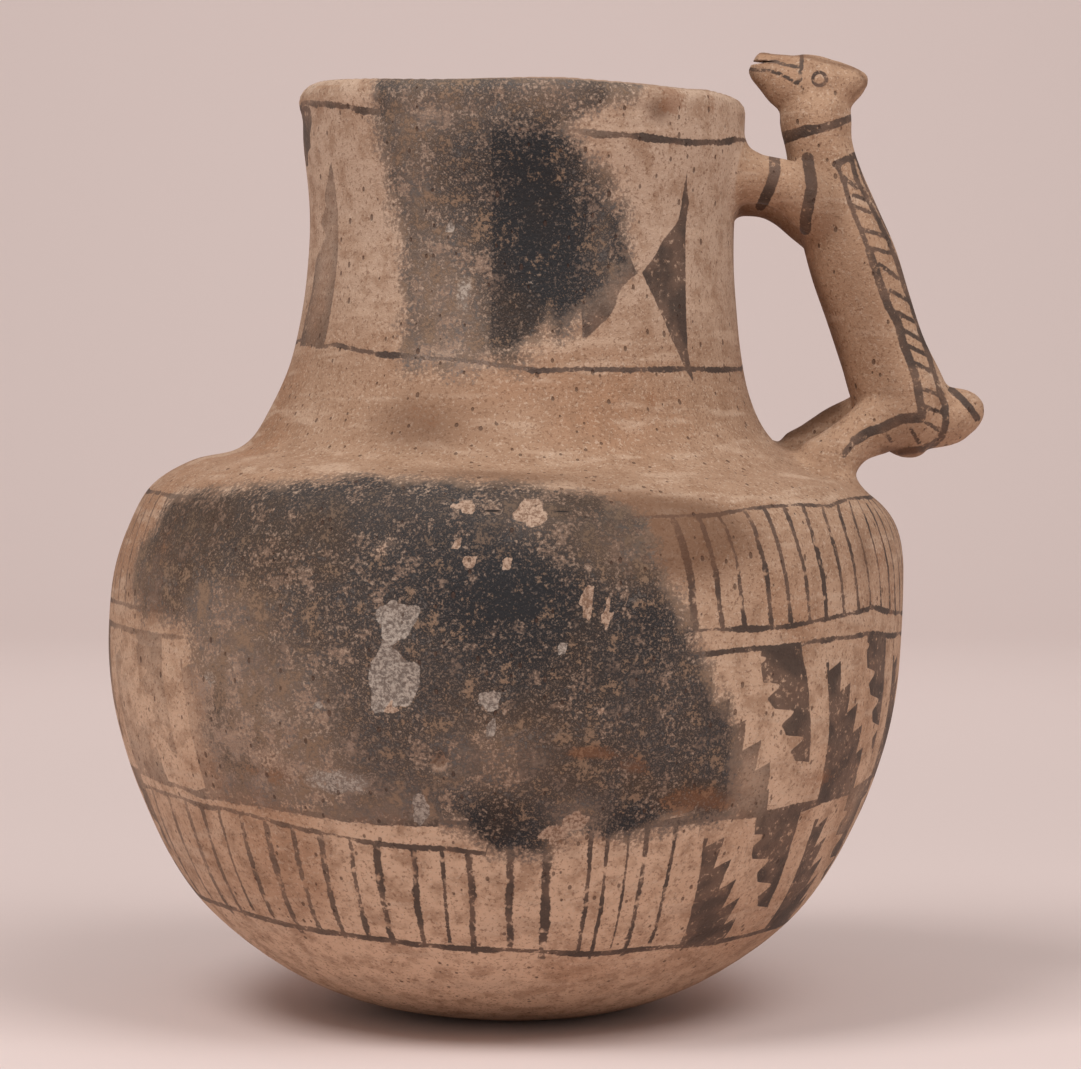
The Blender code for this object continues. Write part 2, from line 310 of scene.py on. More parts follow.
# %% [markdown]
# ## The animal
# The potter rolled clay for the body, head, tail and four legs, pressed the rolls together and
# smoothed the joins with a wet finger. Sculpting would do it too, but rolls say where the clay
# is: a roll is a circle carried along a path, with a thickness at each station. The stations
# are in hundredths of the animal's height: out from the neck, to the side, up, half thickness.

# %% The stations of each roll
TORSO = ((50.3, 0, 10.9, 6.3), (45.9, 0, 13.5, 9.9), (41.2, 0, 20.3, 11.1), (36.9, 0, 30.0, 10.4),
         (33.0, 0, 40.5, 10.4), (29.2, 0, 50.8, 10.6), (25.2, 0, 61.2, 9.7), (21.8, 0, 71.0, 8.6),
         (19.9, 0, 78.5, 8.0), (18.9, 0, 84.8, 8.6), (18.9, 0, 89.4, 7.6), (19.1, 0, 92.8, 5.8))
HEAD = ((3.4, 0, 97.8, 2.6), (4.4, 0, 97.3, 3.4), (6.4, 0, 96.1, 4.3), (9.0, 0, 94.8, 5.6),
        (12.2, 0, 93.3, 6.9), (16.2, 0, 92.6, 7.5), (20.9, 0, 92.3, 7.3), (25.0, 0, 93.0, 5.8),
        (28.2, 0, 93.7, 3.9), (30.1, 0, 94.0, 2.4), (31.1, 0, 93.9, 1.1))
TAIL = ((46.3, 0, 14.8, 8.0), (53.2, 0, 15.3, 7.2), (57.2, 0, 16.3, 5.7), (60.0, 0, 16.8, 4.0),
        (61.7, 0, 17.0, 1.8))
FRONT_LEG = ((-6.0, 9.2, 70.7, 8.8), (1.4, 9.2, 70.1, 7.4), (4.4, 9.0, 69.6, 6.0), (9.0, 8.9, 69.0, 5.8),
             (13.6, 8.4, 67.5, 6.4), (18.0, 7.0, 64.9, 7.0), (22.4, 4.4, 60.8, 6.6), (26.0, 1.6, 56.6, 5.4))
NEAR_HIND_LEG = ((43.6, 2.4, 18.8, 7.4), (40.0, 4.4, 15.6, 8.0), (35.4, 6.4, 12.2, 7.1),
                 (30.2, 8.0, 8.8, 5.8), (26.6, 8.9, 5.6, 6.3), (23.4, 9.6, 1.2, 8.6),
                 (23.0, 9.9, -5.2, 11.5))
FAR_HIND_LEG = ((43.0, 2.4, 19.6, 7.4), (40.0, 4.4, 16.8, 8.0), (34.3, 6.4, 13.5, 6.9),
                (27.7, 8.0, 11.0, 5.8), (22.2, 8.9, 7.0, 5.8), (18.6, 9.6, 3.2, 7.3),
                (18.0, 9.9, -3.0, 10.0))
above_belly = outer[(outer[:, 1] > BELLY_HEIGHT) & (outer[:, 1] <= WAIST_HEIGHT)][::-1]
FEET_OUT, HEAD_ABOVE_RIM = 0.0195, 0.0101
GROUND = float(np.interp(WAIST_RADIUS + FEET_OUT, above_belly[:, 0], above_belly[:, 1]))
FIGURE_SIZE = (RIM_HEIGHT + HEAD_ABOVE_RIM - GROUND) / 100
print("the animal stands at", round(1000 * GROUND, 1), "mm and is", round(1e5 * FIGURE_SIZE, 1), "mm tall")


# %% A roll of clay along its stations
def roll(stations, side=1, drop=0, widening=1.0):
    """The points and faces of circles carried along the smooth path: point = path + half
    thickness (across cos + upright sin), upright being square to the path and to sideways."""
    out, across, up, half = (np.array(stations, float) - (0, 0, drop, 0)).T * FIGURE_SIZE
    steps = np.stack([out + WAIST_RADIUS, side * across, up + GROUND, half], axis=1)
    path = smooth_through(steps, 2 * steps[0] - steps[1], 8)
    along = np.gradient(path[:, :3], axis=0)
    along /= np.linalg.norm(along, axis=1)[:, None]
    upright = np.cross(along, (0, 1, 0))
    upright /= np.linalg.norm(upright, axis=1)[:, None]
    sideways = np.cross(upright, along)
    turn = (np.arange(ROLL_SIDES) / ROLL_SIDES * 2 * math.pi)[None, :, None]
    ring = sideways[:, None] * np.cos(turn) * widening + upright[:, None] * np.sin(turn)
    points = path[:, None, :3] + path[:, None, 3:] * ring
    poles = path[[0, -1], :3]
    return np.concatenate([points.reshape(-1, 3), poles]), grid_faces(len(path), ROLL_SIDES)


ROLL_SIDES = 32
rolls = [
    roll(TORSO, widening=1.08),
    roll(HEAD, widening=0.95),
    roll(TAIL),
    roll(FRONT_LEG, side=-1),
    roll(FRONT_LEG, drop=2.2),
    roll(NEAR_HIND_LEG, side=-1),
    roll(FAR_HIND_LEG),
]
print(len(rolls), "rolls of clay")

# %% [markdown]
# Pressing the rolls together is what a voxel remesh does: it fills one skin of small cubes
# round all of them, and a few rounds of smoothing play the wet finger. A Boolean union would
# leave a sharp crease wherever two rolls meet.

# %% Press the rolls together and smooth them
def applied(made):
    """The object's mesh with its modifiers worked in, and the modifiers removed."""
    bpy.context.view_layer.update()
    shown = made.evaluated_get(bpy.context.evaluated_depsgraph_get())
    mesh = bpy.data.meshes.new_from_object(shown)
    made.modifiers.clear()
    made.data = mesh
    return made


roll_points = np.concatenate([points for points, _ in rolls])
first_points = np.cumsum([0] + [len(points) for points, _ in rolls])
roll_faces = [part + first for (_, faces), first in zip(rolls, first_points) for part in faces]
animal = new_mesh("animal", roll_points, roll_faces)
SKIN_CUBE, FINGER_ROUNDS = 0.00068, 10
press = animal.modifiers.new("press together", "REMESH")
press.mode = "VOXEL"
press.voxel_size = SKIN_CUBE
finger = animal.modifiers.new("wet finger", "SMOOTH")
finger.factor = 0.5
finger.iterations = FINGER_ROUNDS
applied(animal)
print("the animal has", len(animal.data.polygons), "faces")


# %% Reading and writing a mesh's points
def points_of(made):
    """The object's points as an array of x, y, z."""
    flat = np.empty(3 * len(made.data.vertices))
    made.data.vertices.foreach_get("co", flat)
    return flat.reshape(-1, 3)


def put_points(made, points):
    """Moves the object's points to those of the array."""
    made.data.vertices.foreach_set("co", points.ravel())
    made.data.update()


# %% [markdown]
# ## A mouth
# The small places on the animal were read off the photograph in pixels, so the camera's place
# and lens come first. The mouth is a slit pressed with a sharp stick: a thin wedge is cut away
# across the muzzle, which leaves truer lips than pushing single points would.

# %% The camera that the photograph was taken with
CAMERA_PLACE = (0.0053, -0.78146, 0.1272)
CAMERA_PITCH = math.radians(2.126)
LENS_PIXELS = 3770.6
PHOTO_WIDTH = 1081
MIDDLE_RIGHT, MIDDLE_DOWN = 540.5, 534.5


def photo_place(points):
    """Where a point shows on the photograph, in its pixels: the middle plus the lens length
    times the point's offset across or up, over its depth."""
    right, ahead, up = (points - CAMERA_PLACE).T
    depth = ahead * math.cos(CAMERA_PITCH) - up * math.sin(CAMERA_PITCH)
    rise = ahead * math.sin(CAMERA_PITCH) + up * math.cos(CAMERA_PITCH)
    across = MIDDLE_RIGHT + LENS_PIXELS * right / depth
    return np.stack([across, MIDDLE_DOWN - LENS_PIXELS * rise / depth], axis=1)


def place_of(pixel, depth_place=0.0):
    """The point of an upright plane through the animal that shows at a pixel, in metres."""
    across = (pixel[0] - MIDDLE_RIGHT) / LENS_PIXELS
    up = (MIDDLE_DOWN - pixel[1]) / LENS_PIXELS
    along = math.cos(CAMERA_PITCH) + up * math.sin(CAMERA_PITCH)
    depth = (depth_place - CAMERA_PLACE[1]) / along
    rise = up * math.cos(CAMERA_PITCH) - math.sin(CAMERA_PITCH)
    return np.array([CAMERA_PLACE[0] + depth * across, depth_place, CAMERA_PLACE[2] + depth * rise])


print("the eye is at", (1000 * place_of((818.6, 79.5), -0.004)).round(1).tolist(), "mm")

# %% One object cut from another, or united with it
def joined(target, other, operation):
    """The target with the other cut away from it or united with it; the other is removed."""
    cut = target.modifiers.new(operation, "BOOLEAN")
    cut.operation = operation
    cut.solver = "MANIFOLD"
    cut.object = other
    applied(target)
    bpy.data.objects.remove(other)
    return target


# %% Cut the mouth
LEAN = math.radians(2)
FLAT_RADIUS = 0.018
FLAT_DROP = math.sqrt(BASE_CURVE**2 - FLAT_RADIUS**2)
SHIFT = (-BASE_CURVE * math.sin(LEAN), FLAT_DROP - BASE_CURVE * math.cos(LEAN))


def upright(places):
    """Places of the leaning, standing pitcher as they were before it leaned."""
    x, z = places[:, 0] - SHIFT[0], places[:, 2] - SHIFT[1]
    height = x * math.sin(LEAN) + z * math.cos(LEAN)
    return np.stack([x * math.cos(LEAN) - z * math.sin(LEAN), places[:, 1], height], axis=1)


slit = upright(np.array([place_of(pixel) for pixel in ((744, 60.2), (744, 66.4), (775, 62.6))]))
wedge = np.concatenate([slit - (0, 0.01, 0), slit + (0, 0.01, 0)])
wedge_ends = np.array([(0, 1, 2), (5, 4, 3)])
wedge_sides = np.array([(0, 3, 4, 1), (1, 4, 5, 2), (2, 5, 3, 0)])
mouth = new_mesh("mouth", wedge, [wedge_ends, wedge_sides])
joined(animal, mouth, "DIFFERENCE")
print("the animal has", len(animal.data.polygons), "faces with its mouth cut")

# %% [markdown]
# ## Handle and jar become one
# The legs were pressed onto the neck and shoulder, so handle and jar are one piece of clay. A
# Boolean union keeps both fine surfaces as they are. First the animal loses what would reach
# through the wall, cut away by a core that ends in the middle of the wall. The union also
# leaves points on straight edges, which would fold over in the smoothing, so they go.

# %% Join the handle to the jar
middle = inset(outer, WALL / 2)[::6]
core_rings = np.concatenate([middle, [(0, middle[-1, 1])]])
CORE_SIDES = 90
core_turn = np.radians(np.arange(CORE_SIDES) * 360 / CORE_SIDES)
core_points = np.stack([
    core_rings[1:-1, :1] * np.cos(core_turn) + sway(core_rings[1:-1, 1:]),
    core_rings[1:-1, :1] * np.sin(core_turn),
    core_rings[1:-1, 1:] + 0 * core_turn,
], axis=-1).reshape(-1, 3)
core_poles = np.array([[0, 0, middle[0, 1]], [0, 0, middle[-1, 1]]])
core_faces = grid_faces(len(core_rings) - 2, CORE_SIDES)
core = new_mesh("core", np.concatenate([core_points, core_poles]), core_faces)
joined(animal, core, "DIFFERENCE")
pitcher = joined(jar, animal, "UNION")
pitcher.name = "painted_pitcher"
print("joined:", len(pitcher.data.vertices), "points,", len(pitcher.data.polygons), "faces")


# %% Take out the points where only two edges meet
def edge_ends_of(made):
    """The two points of each of the object's edges."""
    ends = np.empty(2 * len(made.data.edges), int)
    made.data.edges.foreach_get("vertices", ends)
    return ends.reshape(-1, 2)


spare = np.flatnonzero(np.bincount(edge_ends_of(pitcher).ravel()) == 2)
work = bmesh.new()
work.from_mesh(pitcher.data)
work.verts.ensure_lookup_table()
bmesh.ops.dissolve_verts(work, verts=[work.verts[number] for number in spare])
work.to_mesh(pitcher.data)
work.free()
print(len(spare), "spare points of the union taken out")

# %% [markdown]
# ## Where each point lies
# Paint, smoke and wear follow the wall, so every point gets its turn, its climb and how far it
# stands proud of the wall. The nearest place on the profile gives the last two.

# %% Turn, climb and proudness of every point
def wall_address(points):
    """Turn in degrees, climb in millimetres and distance outside the wall in millimetres.
    The nearest of the profile's short chords is found and the point projected on it."""
    across = points[:, 0] - sway(points[:, 2]) - extra_sway(points[:, 2])
    turn = np.degrees(np.arctan2(points[:, 1], across))
    here = np.stack([np.hypot(across, points[:, 1]), points[:, 2]], axis=1)
    start, step = outer[:-1:3], outer[3::3] - outer[:-1:3]
    length = np.linalg.norm(step, axis=1)
    nearest = np.full(len(here), 1e9)
    climb, proud = np.zeros(len(here)), np.zeros(len(here))
    for k in range(len(step)):
        away = here - start[k]
        share = np.clip(away @ step[k] / length[k] ** 2, 0, 1)
        gap = away - share[:, None] * step[k]
        distance = np.hypot(*gap.T)
        nearer = distance < nearest
        nearest = np.where(nearer, distance, nearest)
        climb = np.where(nearer, outer_climb[3 * k] + share * length[k], climb)
        outside = step[k, 1] * gap[:, 0] - step[k, 0] * gap[:, 1]
        proud = np.where(nearer, np.copysign(distance, outside), proud)
    return turn, 1000 * climb, 1000 * proud


points = points_of(pitcher)
turn, climb, proud = wall_address(points)
print("furthest from the wall:", round(float(proud.max()), 1), "mm")

# %% Smooth the seam where the handle meets the jar
edge_ends = edge_ends_of(pitcher)
neighbours = np.bincount(edge_ends.ravel(), minlength=len(points)).astype(float)


def neighbour_mean(values):
    """Each point's mean over the points that share an edge with it."""
    table = values.reshape(len(values), -1)
    ends = np.concatenate([edge_ends, edge_ends[:, ::-1]])
    sums = [np.bincount(ends[:, 0], table[ends[:, 1], k], len(points)) for k in range(table.shape[1])]
    return (np.stack(sums, axis=1) / neighbours[:, None]).reshape(values.shape)


membership = ((proud > 0.5) & (climb > 150) & (np.abs(turn) < 60)).astype(float)
SPREAD_ROUNDS, SEAM_ROUNDS = 24, 70
for _ in range(SPREAD_ROUNDS):
    membership = 0.5 * membership + 0.5 * neighbour_mean(membership)
seam = np.clip(6 * membership * (1 - membership), 0, 1)[:, None]
for _ in range(SEAM_ROUNDS):
    points = points + 0.7 * seam * (neighbour_mean(points) - points)
print(int((seam > 0.1).sum()), "points smoothed along the seam")

# %% [markdown]
# ## Standing on its worn flat
# The pitcher leans two degrees towards its handle and rests on a spot worn flat by use. Every
# point is turned and lowered as the plain model's was, and nothing reaches below the table.

# %% Lean the pitcher and wear its bottom
def standing(points):
    """x' = x cos + z sin + shift, z' = z cos - x sin + shift, and no lower than the table."""
    x = points[:, 0] * math.cos(LEAN) + points[:, 2] * math.sin(LEAN) + SHIFT[0]
    z = points[:, 2] * math.cos(LEAN) - points[:, 0] * math.sin(LEAN) + SHIFT[1]
    return np.stack([x, points[:, 1], np.maximum(z, 0)], axis=1)


turn, climb, proud = wall_address(points)
standing_points = standing(points)
put_points(pitcher, standing_points)
pitcher.data.polygons.foreach_set("use_smooth", np.ones(len(pitcher.data.polygons), bool))
low, high = standing_points.min(axis=0), standing_points.max(axis=0)
print("standing, mm", np.round(1000 * np.array([low, high]), 1).tolist())
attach(pitcher, "root")
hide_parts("pitcher")

# %% [markdown]
# ## The painter's lines
# The painter first ran thin lines round the jar and then filled the bands between them. A line
# could be drawn in a picture and wrapped round, but a picture has only so many pixels. Here each
# point keeps its height above every line, and the material paints where that height is almost
# nothing, which stays sharp at any distance.

# %% Lines round the jar, as (turn, climb) measured on the photograph
NECK_TOP = [(-163, 252.3), (-148, 251.8), (-138, 250.5), (-117, 248.5), (-100, 247.0), (-75, 246.6),
            (-50, 246.1), (-40, 246.2), (-30, 246.6), (-20, 248.0), (0, 248.6), (70, 249.5), (150, 251.5)]
NECK_FOOT = [(-165, 204.0), (-146, 202.8), (-142, 203.3), (-128, 202.0), (-105, 201.0), (-85, 199.5),
             (-60, 200.5), (-30, 201.0), (0, 202.0), (90, 203.5), (150, 203.0)]
SHOULDER_TOP = [(-80, 155.5), (-70, 157.3), (-60, 158.2), (-50, 160.0), (-42, 160.9), (-35, 160.3),
                (-26, 162.3), (-15, 163.0), (40, 161.0), (110, 158.0), (-160, 157.0)]
SHOULDER_FOOT = [(-158, 133.5), (-100, 134.0), (-65, 134.8), (-50, 135.7), (-40, 136.8), (-28, 138.6),
                 (-20, 137.6), (-12, 136.5), (60, 135.5), (140, 134.0)]
BELLY_TOP = [(-158, 128.8), (-135, 129.0), (-110, 130.0), (-64, 130.3), (-50, 131.8), (-43, 132.5),
             (-30, 133.3), (-15, 132.5), (70, 131.0), (150, 130.0)]
BELLY_MIDDLE = [(-150, 98.6), (-140, 97.5), (-125, 96.6), (-110, 95.6), (-97, 96.3), (-75, 97.0),
                (-50, 98.0), (-42, 99.6), (-33, 100.0), (-25, 100.8), (-15, 103.0), (20, 102.0), (90, 99.0),
                (150, 100.5)]
SECOND_DROP = [(-160, 2.9), (-152, 2.8), (-135, 2.1), (-120, 3.7), (-110, 4.4), (-97, 5.6), (-91, 6.6),
               (-90.5, -3.0), (24, -3.0), (25, 3.0), (109, 2.6), (110, -3.0), (192, -3.0), (193, 2.9)]
BELLY_FOOT = [(-160, 70.1), (-145, 69.9), (-135, 68.9), (-115, 67.4), (-100, 66.7), (-85, 66.0),
              (-70, 65.0), (-62, 66.3), (-45, 66.3), (-35, 67.2), (-25, 68.4), (60, 67.0), (140, 69.0)]


def keep(name, values, domain="POINT"):
    """Stores up to three numbers for each point, or for each face corner, under a name."""
    table = np.zeros((len(values[0]), 3), np.float32)
    table[:, :len(values)] = np.stack(values, axis=1)
    pitcher.data.attributes.new(name, "FLOAT_VECTOR", domain).data.foreach_set("vector", table.ravel())


middle_line = by_turn(BELLY_MIDDLE, turn)
keep("high_lines", [climb - by_turn(line, turn) for line in (NECK_TOP, NECK_FOOT, SHOULDER_TOP)])
over_middle = climb - middle_line
keep("middle_lines", [climb - by_turn(SHOULDER_FOOT, turn), climb - by_turn(BELLY_TOP, turn), over_middle])
keep("low_lines", [over_middle + by_turn(SECOND_DROP, turn), climb - by_turn(BELLY_FOOT, turn), climb])
print("8 lines kept for", len(turn), "points")

# %% [markdown]
# ## Counting strokes round the jar
# The shoulder band is filled with slanting strokes, and so is part of the belly. Their places
# were measured one by one where the photograph shows them, and go on evenly round the back.
# Each face corner keeps a running count, which is a whole number exactly at a stroke, so the
# material finds the nearest stroke from the count's fraction. The count is taken at a turn that
# shifts with the climb, which slants and bends the strokes.

# %% The strokes' and forms' places, in degrees of turn
SHOULDER_STROKES = (-74, -71.5, -65.2, -61.2, -57.6, -52.7, -49.3, -45.4, -41.6, -37.1, -33.1, -29.2,
                    -25.1, -21, -18)
BELLY_STROKES = (-159, -151.8, -146, -141.6, -137.3, -132.5, -127.3, -122.2, -117.5, -112.4, -108.3,
                 -102.3, -97.8, -93.7, -87.4, -81.7, -75, -72.6, -69.1, -66.4, -61.6)
UPPER_FORMS = (-142.5, -117.4, -92.2, -67.1, -42, -18.8)
LOWER_FORMS = (-60, -36, -12)


def running_count(measured, spacing, turn):
    """0 at the first measured turn, 1 at the next, and so on, then evenly round to the first."""
    first, last = measured[0], measured[-1]
    whole = len(measured) - 1 + round((first + 360 - last) / spacing)
    lap = np.floor((turn - first) / 360)
    turns, counts = [*measured, first + 360], [*range(len(measured)), whole]
    return np.interp(turn - 360 * lap, turns, counts) + lap * whole


def corner_turns(made, turn):
    """Each face corner's turn, counted on from its face's own so that no face spans a jump."""
    corners = np.empty(len(made.data.loops), int)
    made.data.loops.foreach_get("vertex_index", corners)
    sizes = np.empty(len(made.data.polygons), int)
    made.data.polygons.foreach_get("loop_total", sizes)
    around = np.radians(turn[corners])
    starts = np.concatenate([[0], np.cumsum(sizes)[:-1]])
    mean = np.arctan2(np.add.reduceat(np.sin(around), starts), np.add.reduceat(np.cos(around), starts))
    mean = np.repeat(np.degrees(mean), sizes)
    mean = np.where(mean > 160, mean - 360, mean)
    return corners, mean + (turn[corners] - mean + 180) % 360 - 180


corners, corner_turn = corner_turns(pitcher, turn)
corner_climb = climb[corners]
SHIFT_BY_CLIMB = [134, 136.5, 140, 146, 151, 155, 164], [1.9, 1.5, 1.0, 0, -1.1, -1.8, -3.6]
BEND_BY_TURN = [-60, -50, -42, -28, -12, 10], [0, 0.02, 0.035, 0.06, 0.05, 0.005]
shift = np.interp(corner_climb, *SHIFT_BY_CLIMB)
bend = np.interp(corner_turn, *BEND_BY_TURN)
shift = shift + bend * np.clip(corner_climb - 152, 0, 12) ** 2
slant = np.clip(corner_turn + 103, -60, 60) * -0.0025
keep("strokes", [
    running_count(SHOULDER_STROKES, 4.1, corner_turn - shift),
    running_count(BELLY_STROKES, 4.6, corner_turn - slant * (corner_climb - 80)),
], "CORNER")
FORM_LEAN = [(-142, 0.075), (-67, 0.15), (-42, 0.185), (-19, 0.06), (60, 0.12), (150, 0.10)]
upper_lean = by_turn(FORM_LEAN, corner_turn) * (corner_climb - 128)
form_lean = np.where(corner_climb > 99, upper_lean, 0.17 * (corner_climb - 93))
keep("forms", [
    running_count(UPPER_FORMS, 23.65, corner_turn),
    running_count(LOWER_FORMS, 24, corner_turn),
    form_lean,
], "CORNER")
print("strokes counted for", len(corners), "face corners")

# %% [markdown]
# ## Forms with an outline of their own
# On the neck the painter put large stepped and triangular forms, and on the animal bands, a
# ladder down its back, a mouth and an eye. These are kept as the distance to the edge of the
# nearest painted form, negative inside it, which a fine mesh carries well.

# %% Distance to an outline, and to a brush stroke
def to_path(places, path):
    """Distance from each place to the chain of straight lines through the path's points."""
    nearest = np.full(len(places), 1e9)
    for start, end in zip(path[:-1], path[1:]):
        step = np.subtract(end, start)
        away = places - start
        share = np.clip(away @ step / (step @ step), 0, 1)
        nearest = np.minimum(nearest, np.hypot(*(away - share[:, None] * step).T))
    return nearest


def to_outline(places, outline):
    """Distance to a closed outline, negative inside it. A place is inside where a ray from it
    crosses the outline an odd number of times."""
    closed = np.array([*outline, outline[0]], float)
    inside = np.zeros(len(places), bool)
    for (x0, y0), (x1, y1) in zip(closed[:-1], closed[1:]):
        if y0 != y1:
            spans = (places[:, 1] < y0) != (places[:, 1] < y1)
            inside ^= spans & (places[:, 0] < x0 + (places[:, 1] - y0) * (x1 - x0) / (y1 - y0))
    return np.where(inside, -1, 1) * to_path(places, closed)


# %% The neck's forms
NECK_DEGREE = 0.80
WING_RIGHT = [(-57.3, 219.8), (-53.5, 222.5), (-50, 226.5), (-45, 230), (-44, 232), (-43.6, 236),
              (-42.8, 240), (-42.0, 236.5), (-40.8, 234.5), (-41.5, 230), (-42, 215), (-42.6, 205),
              (-41.5, 197.8), (-43.5, 200), (-45.5, 203), (-49, 208), (-53, 214), (-56, 218)]
WING_LEFT = [(-58.5, 219.6), (-60, 221.5), (-62.5, 226), (-64.5, 229.5), (-68, 232), (-74, 236), (-75, 222),
             (-74, 205.3), (-70, 208.5), (-67, 210.5), (-65, 213), (-64.5, 215), (-62, 217.5)]
STEPS_STANDING = [(-149, 240.5), (-147.5, 230.5), (-146.8, 220.5), (-147.2, 203), (-164.5, 203),
                  (-165.5, 207), (-162.5, 213.5), (-162.2, 220.5), (-154.5, 225.5), (-157.5, 227.2),
                  (-159, 228.2), (-154.5, 231.8), (-155.5, 233.2), (-151, 238)]
STEPS_HANGING = [(-159.6, 252), (-160, 248), (-162, 246.5), (-162.4, 243.5), (-166.5, 242.5), (-168, 240),
                 (-173, 240), (-176, 244), (-180, 246), (-181, 252)]
UNDER_SMOKE = [(-97.5, 246), (-84, 246.5), (-82.5, 239), (-79, 234), (-74, 229), (-74, 213), (-77, 209.5),
               (-80, 208), (-82, 210.5), (-85, 211), (-87, 207), (-91, 204), (-96.8, 203.8)]


def moved(outline, turn):
    """The same outline further round the neck."""
    return [(place[0] + turn, place[1]) for place in outline]


neck_forms = [WING_RIGHT, WING_LEFT, STEPS_STANDING, STEPS_HANGING, UNDER_SMOKE]
neck_forms += [moved(form, further) for form in (WING_RIGHT, WING_LEFT) for further in (106, 206)]
neck_forms += [moved(form, 242) for form in (STEPS_STANDING, STEPS_HANGING)]
painted = np.full(len(turn), 9.0)
on_neck = np.flatnonzero((climb > 194) & (proud > -1))
for outline in neck_forms:
    middle_turn = np.mean([place[0] for place in outline])
    near = on_neck[np.abs((turn[on_neck] - middle_turn + 180) % 360 - 180) < 40]
    offset = (turn[near] - middle_turn + 180) % 360 - 180 + middle_turn
    flat = np.stack([offset * NECK_DEGREE, climb[near]], axis=1)
    shape = [(place[0] * NECK_DEGREE, place[1]) for place in outline]
    painted[near] = np.minimum(painted[near], to_outline(flat, shape))
print(len(neck_forms), "forms round the neck,", int((painted < 0).sum()), "points inside them")

# %% Where each point shows on the photograph
near_side = standing_points * (1, 0, 1) - np.abs(standing_points) * (0, 1, 0)
on_photo = photo_place(near_side)
print("the animal's head shows at pixel", on_photo[standing_points[:, 2].argmax()].round().tolist())

# %% [markdown]
# The animal's paint was measured on the photograph as chains of points with a width, in
# pixels. Each point of the mesh is projected onto the same picture, and the far side gets the
# same paint mirrored, since the painter would have decorated both flanks alike.

# %% The animal's brush strokes: width, then the points they pass
MOUTH_STROKES = [
    (3.8, [(761, 61.6), (775.7, 61.6), (782.9, 64.2), (791, 65.7), (801.2, 67.8)]),
    (3.8, [(750.2, 69.3), (768.6, 70.8), (777.8, 72.9), (785.9, 76.9), (792, 81), (797.1, 83.6),
           (800.2, 80), (800.2, 70.8)]),
    (4.5, [(801.7, 55), (801.2, 68.8)]),
    (2.6, [(753, 57), (756, 52.5), (762, 51), (780, 53)]),
    (3.0, [(802, 85.5), (802.4, 89)]),
]
LEG_BANDS = [
    (11.5, [(774.3, 158), (775, 172), (772.5, 181), (769, 190), (763, 203)]),
    (12, [(807.5, 158), (810.5, 175), (811.8, 188), (809, 203), (805.5, 218), (805.5, 229)]),
]
BACK_LINES = [
    (7.0, [(835.4, 164.2), (856, 155)]),
    (5.0, [(837.8, 166), (844.9, 185), (849.3, 202.2), (856.4, 219.4), (863.6, 236.7), (869.3, 251)]),
    (8.5, [(869.3, 251), (875.1, 268.2), (880.8, 285.5), (888, 305.5), (898, 322.8), (903.8, 345.7),
           (911, 363), (916.7, 380.2), (919.6, 400.3), (922.4, 411.7)]),
    (10.5, [(921, 417.5), (900.9, 418.9), (883.7, 427.5), (869.3, 431.8), (855, 440.5)]),
    (6.5, [(855, 440.5), (843.5, 454.8)]),
    (5.0, [(850.7, 156.3), (856.4, 179.3), (869.3, 202.2), (879.4, 222.3), (889.4, 242.4), (898, 265.4),
           (905.2, 288.3), (913.8, 311.3), (921, 334.3), (928.2, 354.3), (933.9, 371.6), (939.7, 391.7)]),
    (7.0, [(939.7, 391.7), (945.4, 406), (946, 423.2), (941.1, 437.6), (932.5, 444.8), (921, 449.1),
           (900.9, 452)]),
    (2.6, [(856.6, 159), (862.4, 177.4), (869.2, 193.5), (880.7, 215.3), (889.9, 234.8)]),
    (7.0, [(951.4, 389.8), (960.5, 397.3), (970.5, 408.1), (977.1, 418)]),
]
RUNGS = [
    [(842.7, 176.4), (856.4, 187.3)], [(853.6, 195), (865, 199.3)], [(852.1, 205.1), (869.3, 212.3)],
    [(863.6, 229.5), (883.7, 236.1)], [(870.8, 248.1), (890.9, 253.3)], [(879.4, 263.9), (898, 278.3)],
    [(889.4, 289.8), (906.7, 299.8)], [(898, 312.7), (913.8, 321.3)], [(900.9, 328.5), (921, 340)],
    [(908.1, 345.7), (925.3, 354.3)], [(915.3, 363), (931, 371.6)], [(922.4, 388.8), (938.2, 394.5)],
    [(923.9, 406), (942.5, 413.2)], [(925.3, 421.8), (941.1, 431.8)], [(911, 429.6), (919.1, 442.9)],
    [(887.6, 436.3), (890.9, 441.2)],
]
NECK_BAND = [(779, 133), (784.9, 131), (805.3, 124.9), (821.6, 123.9), (848.2, 115.2), (856, 112),
             (856, 120), (849.7, 122.3), (831.8, 130), (811.4, 135.6), (801.2, 138.2), (787, 143.3),
             (779, 147)]
PIXELS_PER_MM = 4.85

on_animal = np.flatnonzero((proud > 0.3) & (climb > 150) & (standing_points[:, 0] > 0.040))
animal_on_photo = on_photo[on_animal]
strokes = MOUTH_STROKES + LEG_BANDS + BACK_LINES + [(4.3, rung) for rung in RUNGS]
animal_paint = to_outline(animal_on_photo, NECK_BAND)
for width, path in strokes:
    animal_paint = np.minimum(animal_paint, to_path(animal_on_photo, np.array(path)) - width / 2)
painted[on_animal] = np.minimum(painted[on_animal], animal_paint / PIXELS_PER_MM)
HATCHED_PARTS = ((-110, 51), (67, 42))
hatched = np.max([half - np.abs(turn - middle_turn) for middle_turn, half in HATCHED_PARTS], axis=0)
keep("edges", [np.minimum(painted, 4), proud, hatched])
print(len(strokes), "strokes on the animal")

